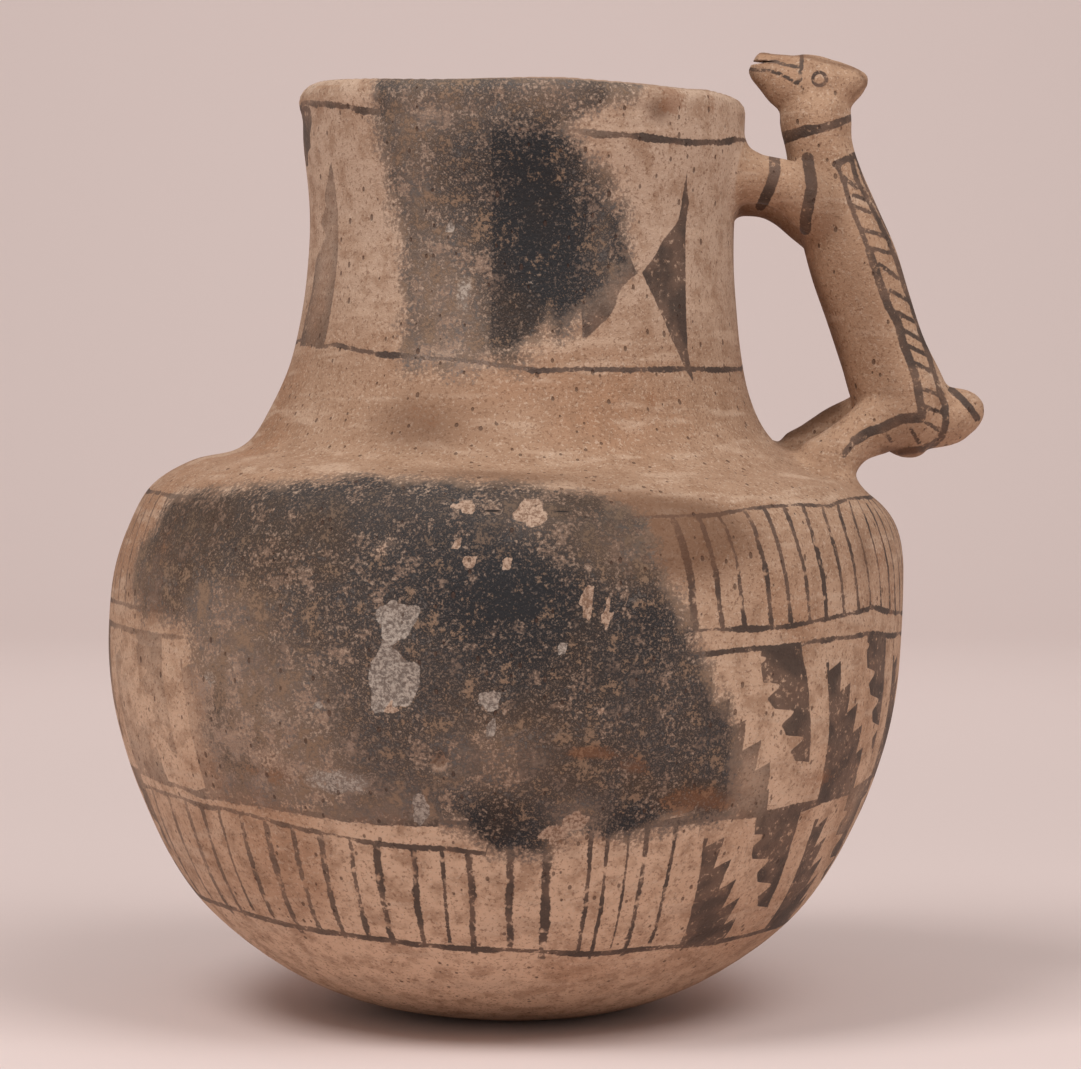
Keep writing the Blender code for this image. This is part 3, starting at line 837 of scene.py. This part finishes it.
# %% [markdown]
# ## Smoke, scorch and wear
# Smoke settled where fuel lay against the jar, black at the heart and brown at its edges, and
# later knocks and washing took some of it off again. Iron in the soil left rusty streaks. Each
# stain is a soft spot with a place, a size and a strength, set against the photograph, and the
# outline of the smoke is drawn round them. The material breaks their edges up.

# %% Soft spots: turn, climb, half width in degrees, half height in mm, strength
def spots(places, table):
    """The sum of bells: strength times exp(-(across / half width)^2 - (up / half height)^2)."""
    total = np.zeros(len(places))
    for across, up, wide, tall, strength in table:
        from_middle = places[:, 0] - across
        total += strength * np.exp(-((from_middle / wide) ** 2) - ((places[:, 1] - up) / tall) ** 2)
    return total


BODY_SMOKE = [(-153, 150), (-151, 157), (-140, 158.5), (-130, 161), (-122, 163.5), (-114, 166), (-106, 166),
              (-98, 165.5), (-88, 165), (-80, 163), (-74, 159), (-71, 152), (-69.5, 145), (-66, 142),
              (-65, 137), (-63.5, 132), (-62, 128), (-60.5, 124), (-58, 120), (-57, 116), (-56.5, 112),
              (-56, 108), (-55.5, 104), (-55, 100), (-57, 98), (-65, 97), (-68, 94.5), (-72, 93.6),
              (-76, 94.5), (-79, 97), (-82, 90), (-86, 89), (-90, 90), (-93, 93), (-95, 96), (-106, 97),
              (-124, 98), (-132, 100), (-135, 108), (-135.5, 118), (-136, 128), (-141, 133), (-150, 133),
              (-155, 138), (-157, 145)]
NECK_SMOKE = [(-130, 256), (-130, 250), (-128, 243), (-126, 235), (-124.5, 230), (-122, 225), (-120.5, 220),
              (-119, 200), (-104, 198), (-98, 200), (-90, 200.5), (-86, 205), (-83, 209), (-80, 206),
              (-76, 209), (-72, 214), (-64, 217), (-61, 222), (-62, 232), (-68, 238), (-75, 243),
              (-79, 247), (-72, 252), (-62, 254), (-55, 257), (-60, 262), (-100, 264), (-128, 262)]
SMOKE_DEPTH = [(-89, 139.5, 9, 8, 0.24), (-90, 96, 6, 5.5, 0.22), (-71, 98, 4, 4, 0.14),
               (-110, 104, 9, 7, 0.12), (-95, 146, 14, 9, 0.08), (-70, 136, 5, 8, 0.10),
               (-84, 128, 9, 8, 0.06), (-143, 149, 9, 8, -0.06), (-150, 139, 6, 6, -0.22),
               (-130, 119, 11, 14, -0.30), (-131, 136, 8, 5, -0.16), (-115, 103, 12, 9, -0.28),
               (-103, 98, 7, 6, -0.16), (-116, 120, 6, 9, -0.10), (-91, 110, 8, 7, -0.18),
               (-88, 157, 5, 6, -0.14), (-74, 151, 8, 6, -0.22), (-64, 148, 4, 14, -0.16),
               (-78, 99, 5, 4, -0.18), (-86, 230, 10, 17, 0.20), (-89, 243, 6, 5, 0.06),
               (-112, 214, 11, 13, -0.26), (-104, 207, 7, 8, -0.12), (-119, 238, 8, 12, -0.16),
               (-113, 250, 14, 5, -0.18), (-84, 253, 12, 5, -0.18), (-69, 226, 5, 12, -0.16),
               (-108, 201, 12, 4, -0.30), (-138, 112, 12, 15, -0.44), (-124, 104, 10, 8, -0.20)]
SCORCH = [(-143, 147, 9, 12, 0.85), (-148, 137, 5, 6, 0.65), (-70, 151, 13, 9, 0.75),
          (-62, 154, 12, 7, 0.40), (-76, 160, 16, 6, 0.50), (-61, 103, 9, 4, 0.60),
          (-77, 111, 4.5, 1.8, 0.55), (-71, 106, 3, 3, 0.45), (-30, 150, 3.5, 7, 0.50),
          (-41, 105, 5, 4, 0.35), (-54, 252, 5, 3, 0.70), (-111, 187, 16, 9, 0.62), (-95, 169, 20, 4, 0.55),
          (-122, 154, 26, 7, 0.30), (-140, 95, 14, 12, 0.10), (-157, 139, 3, 6, 0.40)]
PALE = [(-112, 103.5, 9, 4.5, 0.62), (-122, 116, 8, 9, 0.48), (-64, 117, 2.5, 5, 0.45),
        (-104, 214, 5, 10, 0.55), (-86, 216, 7, 7, 0.48), (-86.5, 144.7, 1.4, 1, 0.5),
        (-134, 121, 3, 5, 0.5)]
FADED = [(-142, 114, 22, 17, 0.75), (-118, 112, 12, 14, 0.55), (-132, 146, 30, 13, 0.85),
         (-95, 148, 12, 9, 0.7), (-152, 82, 16, 14, 0.35), (-125, 80, 14, 14, 0.2), (-84, 240, 14, 12, 0.8),
         (-112, 240, 16, 12, 0.6), (-154, 222, 10, 26, 0.72), (-66, 222, 5, 12, 0.35),
         (-160, 115, 10, 18, 0.5), (-22, 97, 5, 8, 0.5), (-52, 105, 5, 9, 0.55), (-15, 152, 4, 6, 0.5)]
TAN = [(-76, 149, 5, 4, 0.55), (-80, 97, 5, 4, 0.62), (-93, 113, 8, 4, 0.5), (-124, 107, 8, 6, 0.6),
       (-107, 150, 4, 4, 0.5), (-155.5, 148.5, 2, 4, 0.5), (-84, 122, 10, 7, 0.44), (-116, 146, 9, 5, 0.46)]
RUST = [(-77.5, 111.6, 4.5, 1.3, 1.0), (-71.5, 108.8, 3, 2.0, 0.8), (-60, 102, 8, 3.2, 0.8),
        (-38, 105.2, 8, 2.2, 0.6), (-24, 150, 2.5, 6, 0.6), (-19, 140, 2.5, 6, 0.6),
        (-50, 253.5, 5, 2, 1.1), (-34.5, 253.5, 2, 1.5, 0.9), (-57, 194, 2, 2.5, 0.8),
        (-109, 190, 9, 5, 0.45), (-80, 93, 3, 2, 0.6), (-148, 147, 4, 8, 0.5), (-123, 104, 6, 3, 0.6),
        (120, 104, 12, 3, 0.6), (62, 150, 5, 5, 0.6)]


def flaked(hollows):
    """1 where one of the hollows has taken the surface off, with a short edge."""
    radius = np.interp(climb, 1000 * outer_climb, outer[:, 0])
    reach = np.min([reach_of(hollow, turn, climb / 1000, radius) for hollow in hollows], axis=0)
    return np.clip((1.12 - reach) / 0.25, 0, 1.1)


wall_place = np.stack([turn, climb], axis=1)
smoke_edge = np.full(len(turn), -9.0)
for outline, degree in ((BODY_SMOKE, 1.40), (NECK_SMOKE, NECK_DEGREE)):
    shape = [(place[0] * degree, place[1]) for place in outline]
    smoke_edge = np.maximum(smoke_edge, -to_outline(wall_place * (degree, 1), shape))
smoke_depth = 0.77 + spots(wall_place, SMOKE_DEPTH)
keep("smoke", [np.clip(smoke_edge, -9, 9), smoke_depth, spots(wall_place, SCORCH)])
print("smoked points:", int((smoke_edge > 0).sum()))

# %% Brown on the animal, partly painted shade: reach and strength along a path on the photograph
# Painted shade: the paths under the legs, under the jaw, at the throat, in the crease where a front leg meets
# the torso and along the inner flank darken the clay where it lies in shadow. The broad path down the torso
# and the tail's path give the brown mottling of the clay.
ANIMAL_SHADE_AND_MOTTLE = [
    (9, 0.75, [(745, 210), (768, 217), (788, 232), (800, 250)]),
    (9, 0.80, [(778, 438), (806, 428), (838, 405)]),
    (8, 0.60, [(806, 265), (822, 300), (838, 350), (845, 392)]),
    (12, 0.35, [(830, 300), (842, 350), (846, 385)]),
    (6, 0.75, [(884, 450), (915, 451)]),
    (6, 0.45, [(789, 142), (790, 158)]),
    (3, 0.60, [(753, 57), (756, 52), (800, 55), (857, 69), (867, 83), (853, 96)]),
    (3, 0.40, [(749, 70), (760, 86), (775, 108), (786, 140)]),
    (10, 0.25, [(810, 235), (830, 262)]),
    (30, 0.42, [(815, 170), (850, 260), (890, 380), (900, 430)]),
    (14, 0.20, [(960, 425), (930, 440)]),
]
animal_shade_and_mottle = np.zeros(len(turn))
for reach, strength, path in ANIMAL_SHADE_AND_MOTTLE:
    soft = strength * np.exp(-((to_path(animal_on_photo, np.array(path)) / reach) ** 2))
    animal_shade_and_mottle[on_animal] = np.maximum(animal_shade_and_mottle[on_animal], soft)
grey_places = np.maximum(spots(wall_place, PALE), flaked(GREY_HOLLOWS))
tan_places = np.maximum(spots(wall_place, TAN), flaked(TAN_HOLLOWS))
keep("patches", [grey_places, tan_places, animal_shade_and_mottle - spots(wall_place, FADED)])
keep("stains", [spots(wall_place, RUST)])

# %% [markdown]
# ## Arithmetic for the material
# A material is a net of nodes, and sums made of nodes are hard to read. This small class wraps
# one node's socket, so that an ordinary sum such as 1 - mask adds the Math nodes it needs.

# %% A socket that can be reckoned with
clay = bpy.data.materials.new("clay")
clay.use_nodes = True
tree = clay.node_tree


class Wire:
    """One output socket of the clay's nodes."""

    def __init__(self, socket):
        self.socket = socket

    @staticmethod
    def node(kind, settings=None, inputs=None, output=0):
        """Adds a node: its settings first, then the values or wires of its sockets."""
        made = tree.nodes.new(kind)
        for name, value in (settings or {}).items():
            setattr(made, name, value)
        for name, value in (inputs or {}).items():
            if isinstance(value, Wire):
                tree.links.new(value.socket, made.inputs[name])
            else:
                made.inputs[name].default_value = value
        return Wire(made.outputs[output])

    @staticmethod
    def split(vector):
        """The vector's three numbers."""
        parts = Wire.node("ShaderNodeSeparateXYZ", inputs={0: vector}).socket.node.outputs
        return [Wire(part) for part in parts]

    def maths(self, operation, *others):
        """A Math node's answer for this number and the others."""
        return Wire.node("ShaderNodeMath", {"operation": operation}, dict(enumerate([self, *others])))

    def __add__(self, other):
        return self.maths("ADD", other)

    def __sub__(self, other):
        return self.maths("SUBTRACT", other)

    def __rsub__(self, other):
        return (self * -1) + other

    def __mul__(self, other):
        return self.maths("MULTIPLY", other)

    def __truediv__(self, other):
        return self.maths("DIVIDE", other)

    def __abs__(self):
        return self.maths("ABSOLUTE")

    __radd__ = __add__
    __rmul__ = __mul__

    def rise(self, low, high):
        """0 up to low and 1 from high on, with a smooth step between; the other way round
        where low is the greater."""
        return Wire.node("ShaderNodeMapRange", {"interpolation_type": "SMOOTHSTEP"},
                         {"Value": self, "From Min": low, "From Max": high})


def parts_of(name):
    """The three numbers kept under a name."""
    return Wire.split(Wire.node("ShaderNodeAttribute", {"attribute_name": name}, output="Vector"))


def noise(size, detail=2.0, roughness=0.5, squash=None):
    """Noise whose lumps are about size millimetres across, around 0.5."""
    place = where
    if squash:
        place = Wire.node("ShaderNodeMapping", inputs={"Vector": where, "Scale": squash})
    sockets = {"Vector": place, "Scale": 1000 / size, "Detail": detail, "Roughness": roughness}
    return Wire.node("ShaderNodeTexNoise", inputs=sockets)


def either(first, second, share):
    """The first number where the share is 0, the second where it is 1."""
    return Wire.node("ShaderNodeMix", inputs={0: share, 2: first, 3: second})


def paint(red, green, blue):
    """A colour named as it looks on the photograph, 0 to 255, as the light it sends back."""
    share = (np.array([red, green, blue]) / 255 + 0.055) / 1.055
    return (*(share**2.4), 1)


def over(under, colour, share, way="MIX"):
    """The colour laid over another with the given share."""
    return Wire.node("ShaderNodeMix", {"data_type": "RGBA", "blend_type": way},
                     {0: share, 6: under, 7: colour}, 2)


where = Wire.node("ShaderNodeTexCoord", output="Object")
neck_top, neck_foot, shoulder_top = parts_of("high_lines")
shoulder_foot, belly_top, belly_middle = parts_of("middle_lines")
second_line, belly_foot, climbed = parts_of("low_lines")
edge, proud_by, hatched_by = parts_of("edges")
on_wall = proud_by.rise(1.1, 0.5)
print("the clay's numbers are wired")

# %% [markdown]
# A hand-drawn line wanders a little and its edge is rough, because the brush drags over grit.
# Two noises do that: a slow one shifts the line, and a fine one eats at its edge.

# %% Lines
wander = noise(14) * 1.6 - 0.8
grit = noise(0.9, 3) * 0.9 - 0.45
thin = noise(7, 2)


def line(height, half_width):
    """1 where the wandering height is less than the half width, which swells and thins."""
    swell = (thin - 0.5) * 1.1
    return (abs(height + wander) + grit - swell).rise(half_width + 0.12, half_width - 0.12)


def most(first, *others):
    """The greatest of several numbers."""
    for other in others:
        first = first.maths("MAXIMUM", other)
    return first


lines = most(
    line(neck_top, 0.62), line(neck_foot, 0.50), line(shoulder_top, 0.48), line(shoulder_foot, 0.45),
    line(belly_top, 0.48), line(belly_middle, 0.55), line(belly_foot, 0.80),
    line(second_line, 0.50) * (second_line - belly_middle).rise(0.3, 0.8),
)

# %% Strokes
below = belly_middle.rise(0.2, -0.2)
shoulder_count, belly_count, _ = parts_of("strokes")
count = either(shoulder_count, belly_count, below) + (noise(9) * 0.16 - 0.08)
stroke = (count + 0.5).maths("FLOOR")
chance = Wire.node("ShaderNodeTexWhiteNoise", {"noise_dimensions": "1D"}, {"W": stroke})
beside = abs(count - stroke) * 5.6
strokes_mask = (beside + grit - (thin - 0.5) * 0.8).rise(0.46 + 0.30 * chance, 0.26 + 0.30 * chance)
on_shoulder = shoulder_top.rise(0.3, -0.3) * shoulder_foot.rise(-0.3, 0.3)
ends = belly_foot + 4 * chance - 1.2
on_belly = belly_middle.rise(0.3, -0.3) * second_line.rise(0.3, -0.3)
on_belly = on_belly * hatched_by.rise(-0.3, 0.3) * ends.rise(0, 0.8)
strokes_mask = strokes_mask * either(on_shoulder, on_belly, below) * noise(2.6, 2).rise(0.30, 0.42)

# %% [markdown]
# ## Hanging and standing forms
# Each band of forms repeats a pair: a dark form that hangs from the upper line with a
# scalloped left side, a slanting gap left bare, and a dark form that stands on the lower line
# with a toothed right side. Across is measured in degrees of turn from the gap's middle and
# down in millimetres from the upper line, so that one pair of sums serves both bands.

# %% The pair of forms
upper_count, lower_count, gap_lean = parts_of("forms")
form_count = either(upper_count, lower_count, below)
down = either(belly_top * -1, (0.9 - belly_middle) / 1.17, below)
first_share = (0.46 + 0.10 * below) - (0.0076 + 0.004 * below) * down
pair = (form_count + first_share).maths("FLOOR")
across = (form_count - pair) * 24 + (noise(6) * 0.9 - 0.45) + grit * 0.4
from_gap = across + gap_lean

tooth = (across - 8.9) / 2.93
which = tooth.maths("CEIL")
tooth_top = (8.8 + 4.5 * which + 1.6 * (which - tooth)).maths("MAXIMUM", 4.2)
standing_form = from_gap.rise(2.2, 2.4) * (down - tooth_top).rise(-0.1, 0.15)

phase = ((down - 7.3 + 2.1 * below) / 5.6).maths("FRACT")
scallop = 3.2 * phase.rise(0, 0.5) * phase.rise(1, 0.8)
left_side = (-10.6 - 3.1 * below) + (0.50 + 0.17 * below) * down - scallop
left_side = left_side.maths("MAXIMUM", -10.4 - 2.6 * below)
hanging_form = (across - left_side).rise(-0.1, 0.15) * from_gap.rise(-2.3, -2.5)
hanging_form = hanging_form * down.rise(24.4 - 2.5 * below, 24.2 - 2.5 * below)
in_upper = belly_top.rise(0.2, -0.2) * (1 - below)
in_lower = below * belly_foot.rise(-0.2, 0.2) * hatched_by.rise(0.2, -0.2)
forms_mask = most(standing_form, hanging_form) * most(in_upper, in_lower)

# %% [markdown]
# ## Soot and worn paint
# Soot sinks into the clay unevenly, so its edge is ragged and paler grains show through it. A
# blurred stain would look like a shadow. Noises of several sizes shift the smoke's edge and
# thin its depth instead, and they wear the paint too.

# %% Smoke: its edge, its depth and the grains that show through
mottle = noise(4.5, 4, 0.6)
grain = noise(0.75, 3, 0.75)
fine = noise(0.7, 2, 0.7)
smoke_in, smoke_deep, scorch = parts_of("smoke")
pale, tan, shade = parts_of("patches")
outside = proud_by.rise(-3.2, -2.2)
rust, _, _ = parts_of("stains")
smoke_edge = (smoke_in + (noise(6, 3, 0.6) - 0.5) * 9 + (grain - 0.5) * 9).rise(-2.6, 2.6) * outside
under_smoke = edge.rise(0.3, -0.3) * climbed.rise(190, 200)
smoke_deep = smoke_deep + under_smoke * 0.10
patchy = (mottle - 0.5) * 1.4 + (thin - 0.5) * 0.6 + (grain - 0.5) * 2.1
smoke_here = smoke_edge * (smoke_deep + patchy).rise(0.02, 0.86)
flecks = (grain + mottle * 0.6 + thin * 0.3 - smoke_deep * 0.30).rise(0.70, 0.90)
flaky = 1 - 0.5 * climbed.rise(140, 154) * climbed.rise(190, 180)
flecks = flecks * flaky

# %% Paint: all the masks together, worn thin in places
brushed = (edge + grit * 0.6).rise(0.10, -0.14)
wear = noise(1.1, 2, 0.7)
drawn = most(lines, strokes_mask, forms_mask) * on_wall
painted_mask = most(drawn, brushed) * (wear + thin * 0.45).rise(0.44, 0.66)
painted_mask = painted_mask * outside * (1 + shade.maths("MINIMUM", 0.0)) * (1 - 0.7 * smoke_here)

# %% [markdown]
# ## The clay itself
# Fired buff clay is never one colour: it is pinker where the fire was clean, streaked by the
# wiping hand, and full of grit and small pits. Low down it is paler, painted light that lifts the
# shade under the belly. On it lie the paint, the scorch, brown painted shade on the animal, the
# smoke and the rust, and then the pale and tan places where the surface has come off.

# %% Colours from the clay up
def layered(under, layers):
    """The colours laid over one another in turn, each with its share."""
    for tint, share in layers:
        under = over(under, paint(*tint), share)
    return under


blotch = noise(38, 3)
wiped = noise(3, 2, 0.6, (0.16, 0.16, 1.0))
# Paler low down: painted light that lifts the shade under the belly.
painted_light_low_down = climbed.rise(172, 96)
buff = over(paint(166, 132, 107), paint(210, 176, 149), painted_light_low_down)
buff = layered(buff, [
    ((189, 160, 138), climbed.rise(192, 225) * on_wall),
    ((184, 148, 120), (1 - on_wall) * 0.6),
    ((152, 106, 74), blotch.rise(0.50, 0.70) * 0.55),
    ((148, 113, 88), (1 - mottle).rise(0.42, 0.66) * 0.65),
    ((200, 170, 146), wiped.rise(0.52, 0.68) * 0.5),
    ((112, 78, 56), fine.rise(0.53, 0.68) * 0.58),
    ((210, 184, 162), (1 - grain).rise(0.54, 0.66) * 0.45),
])
brown = over(paint(98, 76, 64), paint(60, 48, 43), thin.rise(0.4, 0.62))
colour = over(buff, brown, painted_mask * 0.92)
# Scorch on the jar; on the animal the same brown is painted shade under its legs and in its creases, together
# with the brown mottling of its clay.
scorch_and_painted_shade = (scorch * outside + shade.maths("MAXIMUM", 0.0) + (mottle - 0.5) * 0.6).rise(0.10, 0.80)
colour = over(colour, paint(100, 67, 46), scorch_and_painted_shade * 0.72)
soot = over(paint(37, 36, 38), paint(56, 42, 32), most(scorch.rise(0.1, 0.6), blotch.rise(0.50, 0.64) * 0.7))
colour = over(colour, soot, smoke_here)
thin_smoke = smoke_edge * (1 - smoke_here)
colour = layered(colour, [
    ((124, 111, 103), thin_smoke * 0.35),
    ((60, 52, 48), (mottle + thin * 0.5).rise(0.76, 0.92) * thin_smoke * 0.75),
    ((164, 140, 124), ((1 - mottle) * 0.5 + grain).rise(0.79, 0.86) * thin_smoke * flaky * 0.7),
    ((66, 56, 51), (mottle * 0.9 + grain * 0.6).rise(0.72, 0.82) * thin_smoke * 0.85),
    ((172, 142, 120), (fine * 0.7 + thin * 0.5 + grain * 0.2).rise(0.71, 0.80) * thin_smoke * 0.7),
])
shown_through = over(paint(118, 108, 102), paint(158, 128, 104), mottle.rise(0.42, 0.60))
colour = over(colour, shown_through, flecks * smoke_here * (1 - under_smoke * 0.15) * 0.72)
rusted = (rust * outside + (mottle - 0.5) * 1.3 + (grain - 0.5) * 1.4).rise(0.34, 0.80)
colour = over(colour, paint(132, 86, 56), rusted * 0.50)
ash = over(paint(112, 99, 91), paint(180, 165, 152), grain.rise(0.38, 0.62))
colour = over(colour, ash, (pale * outside * (mottle * 0.8 + grain * 0.5 + 0.08)).rise(0.34, 0.46) * 0.9)
bared = over(paint(132, 102, 82), paint(188, 158, 136), grain.rise(0.38, 0.60))
colour = over(colour, bared, (tan * outside * (mottle * 0.8 + grain * 0.6)).rise(0.36, 0.50) * 0.9)

# %% Grit and pits
cells = Wire.node("ShaderNodeTexVoronoi", {"feature": "F1"},
                  {"Vector": Wire.node("ShaderNodeMapping", inputs={"Vector": where, "Scale": (1, 1, 0.6)}),
                   "Scale": 640.0, "Randomness": 1.0})
cell_chance = Wire.node("ShaderNodeSeparateColor", inputs={0: Wire(cells.socket.node.outputs["Color"])})
pits = (cells - (cell_chance - 0.66) * 0.7).rise(0.06, -0.03)
colour = over(colour, paint(70, 46, 34), pits * 0.65)
colour = over(colour, paint(146, 116, 95), (1 - outside) * 0.6)

# %% [markdown]
# A few marks need a sharp edge wherever they are looked at from: the animal's eye, and the
# bottoms of the holes where grit fell out, painted dark as shade. They are measured in space
# from a fixed place.

# %% The eye and the holes
across_x, _, up_z = Wire.split(where)
eye = place_of((818.6, 79.5), -0.004)
from_eye = ((across_x - eye[0]).maths("POWER", 2) + (up_z - eye[2]).maths("POWER", 2)).maths("SQRT")
ring = abs(from_eye * 1000 - 1.35 + (thin - 0.5) * 0.8) + grit * 0.3
ring = ring.rise(0.50, 0.26) * (across_x * 1000).rise(40, 41) * proud_by.rise(1.1, 1.6)
colour = over(colour, brown, ring * (0.95 - 0.6 * (1 - wear).rise(0.5, 0.62)))


def wall_point(turn, climb):
    """The standing pitcher's outer wall at a turn in degrees and a climb in millimetres."""
    radius, height = pick(outer, 1000 * outer_climb, np.array([climb]))[0]
    around = math.radians(turn)
    x = radius * math.cos(around) + sway(height) + extra_sway(height)
    return standing(np.array([[x, radius * math.sin(around), height]]))[0]


def hollow(turn, climb, half_width, ragged=1.6, flatness=1.0):
    """1 within the half width, in mm, of the place on the wall, with a ragged edge. Its half
    height is the half width over the flatness."""
    def vector(operation, *inputs, output=0):
        return Wire.node("ShaderNodeVectorMath", {"operation": operation}, dict(enumerate(inputs)), output)

    away = vector("SUBTRACT", where, wall_point(turn, climb))
    away = vector("LENGTH", vector("MULTIPLY", away, (1000, 1000, 1000 * flatness)), output="Value")
    return (away + (mottle + grain - 1) * ragged).rise(half_width + 0.3, half_width - 0.3)


colour = over(colour, bared, hollow(-98, 108.4, 1.7, 1.8) * 0.8)
# The dark bottoms of the holes are painted shade.
holes = most(hollow(-98, 109.2, 0.9, 1.2), hollow(-142.3, 123.8, 0.6, 0.8),
             hollow(-93.4, 157.2, 1.6, 0.8, 7.0), hollow(-83.6, 157.6, 1.5, 0.8, 8.0))
colour = over(colour, paint(36, 28, 24), holes)
print("eye, hollows and holes placed")

# %% [markdown]
# Fired clay is matt, and paint and soot shine a little more. What is finer than the mesh, the
# grain of the clay and the streaks of the wiping hand, goes into the shading as a bump.

# %% Into the shader
shader = tree.nodes["Principled BSDF"]
tree.links.new(colour.socket, shader.inputs["Base Color"])
rough = 0.82 - 0.14 * painted_mask - 0.08 * smoke_here
tree.links.new(rough.socket, shader.inputs["Roughness"])
shader.inputs["Specular IOR Level"].default_value = 0.3
relief = fine * 0.7 + grain * 0.7 + wiped * 0.5 - pits * 1.5
bumped = Wire.node("ShaderNodeBump", inputs={"Height": relief, "Strength": 0.7, "Distance": 0.00035},
                   output="Normal")
tree.links.new(bumped.socket, shader.inputs["Normal"])
pitcher.data.materials.clear()
pitcher.data.materials.append(clay)
print(len(tree.nodes), "nodes in the clay")

# %% [markdown]
# ## Floor, light and camera
# A plain pale sweep, a soft lamp high up before the jar on the left and a weaker one on the right,
# and the camera where the photographer's stood. The lamps hang high because the photograph's
# dark shadow lies close under the round bottom, on the near side too.

# %% The sweep
def sweep():
    """A floor that curves up into a wall: a straight run, a quarter circle, a straight run."""
    bend = np.linspace(0, math.pi / 2, 16)
    across = np.concatenate([[-3], 1.2 + 0.8 * np.sin(bend), [2.0]])
    up = np.concatenate([[0], 0.8 - 0.8 * np.cos(bend), [4]])
    left = np.stack([np.full(len(up), -4.0), across, up], axis=1)
    points = np.concatenate([left, left * (-1, 1, 1)])
    index = np.arange(len(up) - 1)
    faces = np.stack([index, index + len(up), index + len(up) + 1, index + 1], axis=1)
    return new_mesh("floor", points, [faces])


floor = sweep()
floor.data.polygons.foreach_set("use_smooth", np.ones(len(floor.data.polygons), bool))
paper = bpy.data.materials.new("paper")
paper.use_nodes = True
paper_shader = paper.node_tree.nodes["Principled BSDF"]
paper_shader.inputs["Base Color"].default_value = paint(224, 206, 201)
paper_shader.inputs["Roughness"].default_value = 0.9
floor.data.materials.append(paper)


# %% Lamps and camera
def lamp(name, place, aim, size, watts):
    """A square soft lamp that faces a place."""
    light = bpy.data.lights.new(name, "AREA")
    light.size = size
    light.energy = watts
    made = bpy.data.objects.new(name, light)
    bpy.context.scene.collection.objects.link(made)
    made.location = place
    away = np.subtract(aim, place)
    made.rotation_euler = (math.atan2(np.hypot(away[0], away[1]), -away[2]), 0, math.atan2(-away[0], away[1]))
    return made


lamp("left window", (-0.58, -0.62, 1.30), (0, 0, 0.09), 0.6, 11.3)
lamp("right window", (0.62, -0.65, 1.22), (0, 0, 0.09), 0.7, 9.3)
lamp("wall wash", (0, 0.8, 1.1), (0, 2.0, 0.5), 1.2, 5)
world = bpy.data.worlds.new("studio")
world.use_nodes = True
sky = world.node_tree.nodes["Background"]
sky.inputs["Color"].default_value = (0.95, 0.92, 0.90, 1)
sky.inputs["Strength"].default_value = 0.40
bpy.context.scene.world = world
bpy.context.scene.view_settings.view_transform = "Standard"

camera = bpy.data.objects.new("camera", bpy.data.cameras.new("camera"))
bpy.context.scene.collection.objects.link(camera)
camera.location = CAMERA_PLACE
camera.rotation_euler = (math.pi / 2 - CAMERA_PITCH, 0, 0)
FILM_WIDTH = 36
camera.data.sensor_width = FILM_WIDTH
camera.data.lens = FILM_WIDTH * LENS_PIXELS / PHOTO_WIDTH
bpy.context.scene.camera = camera
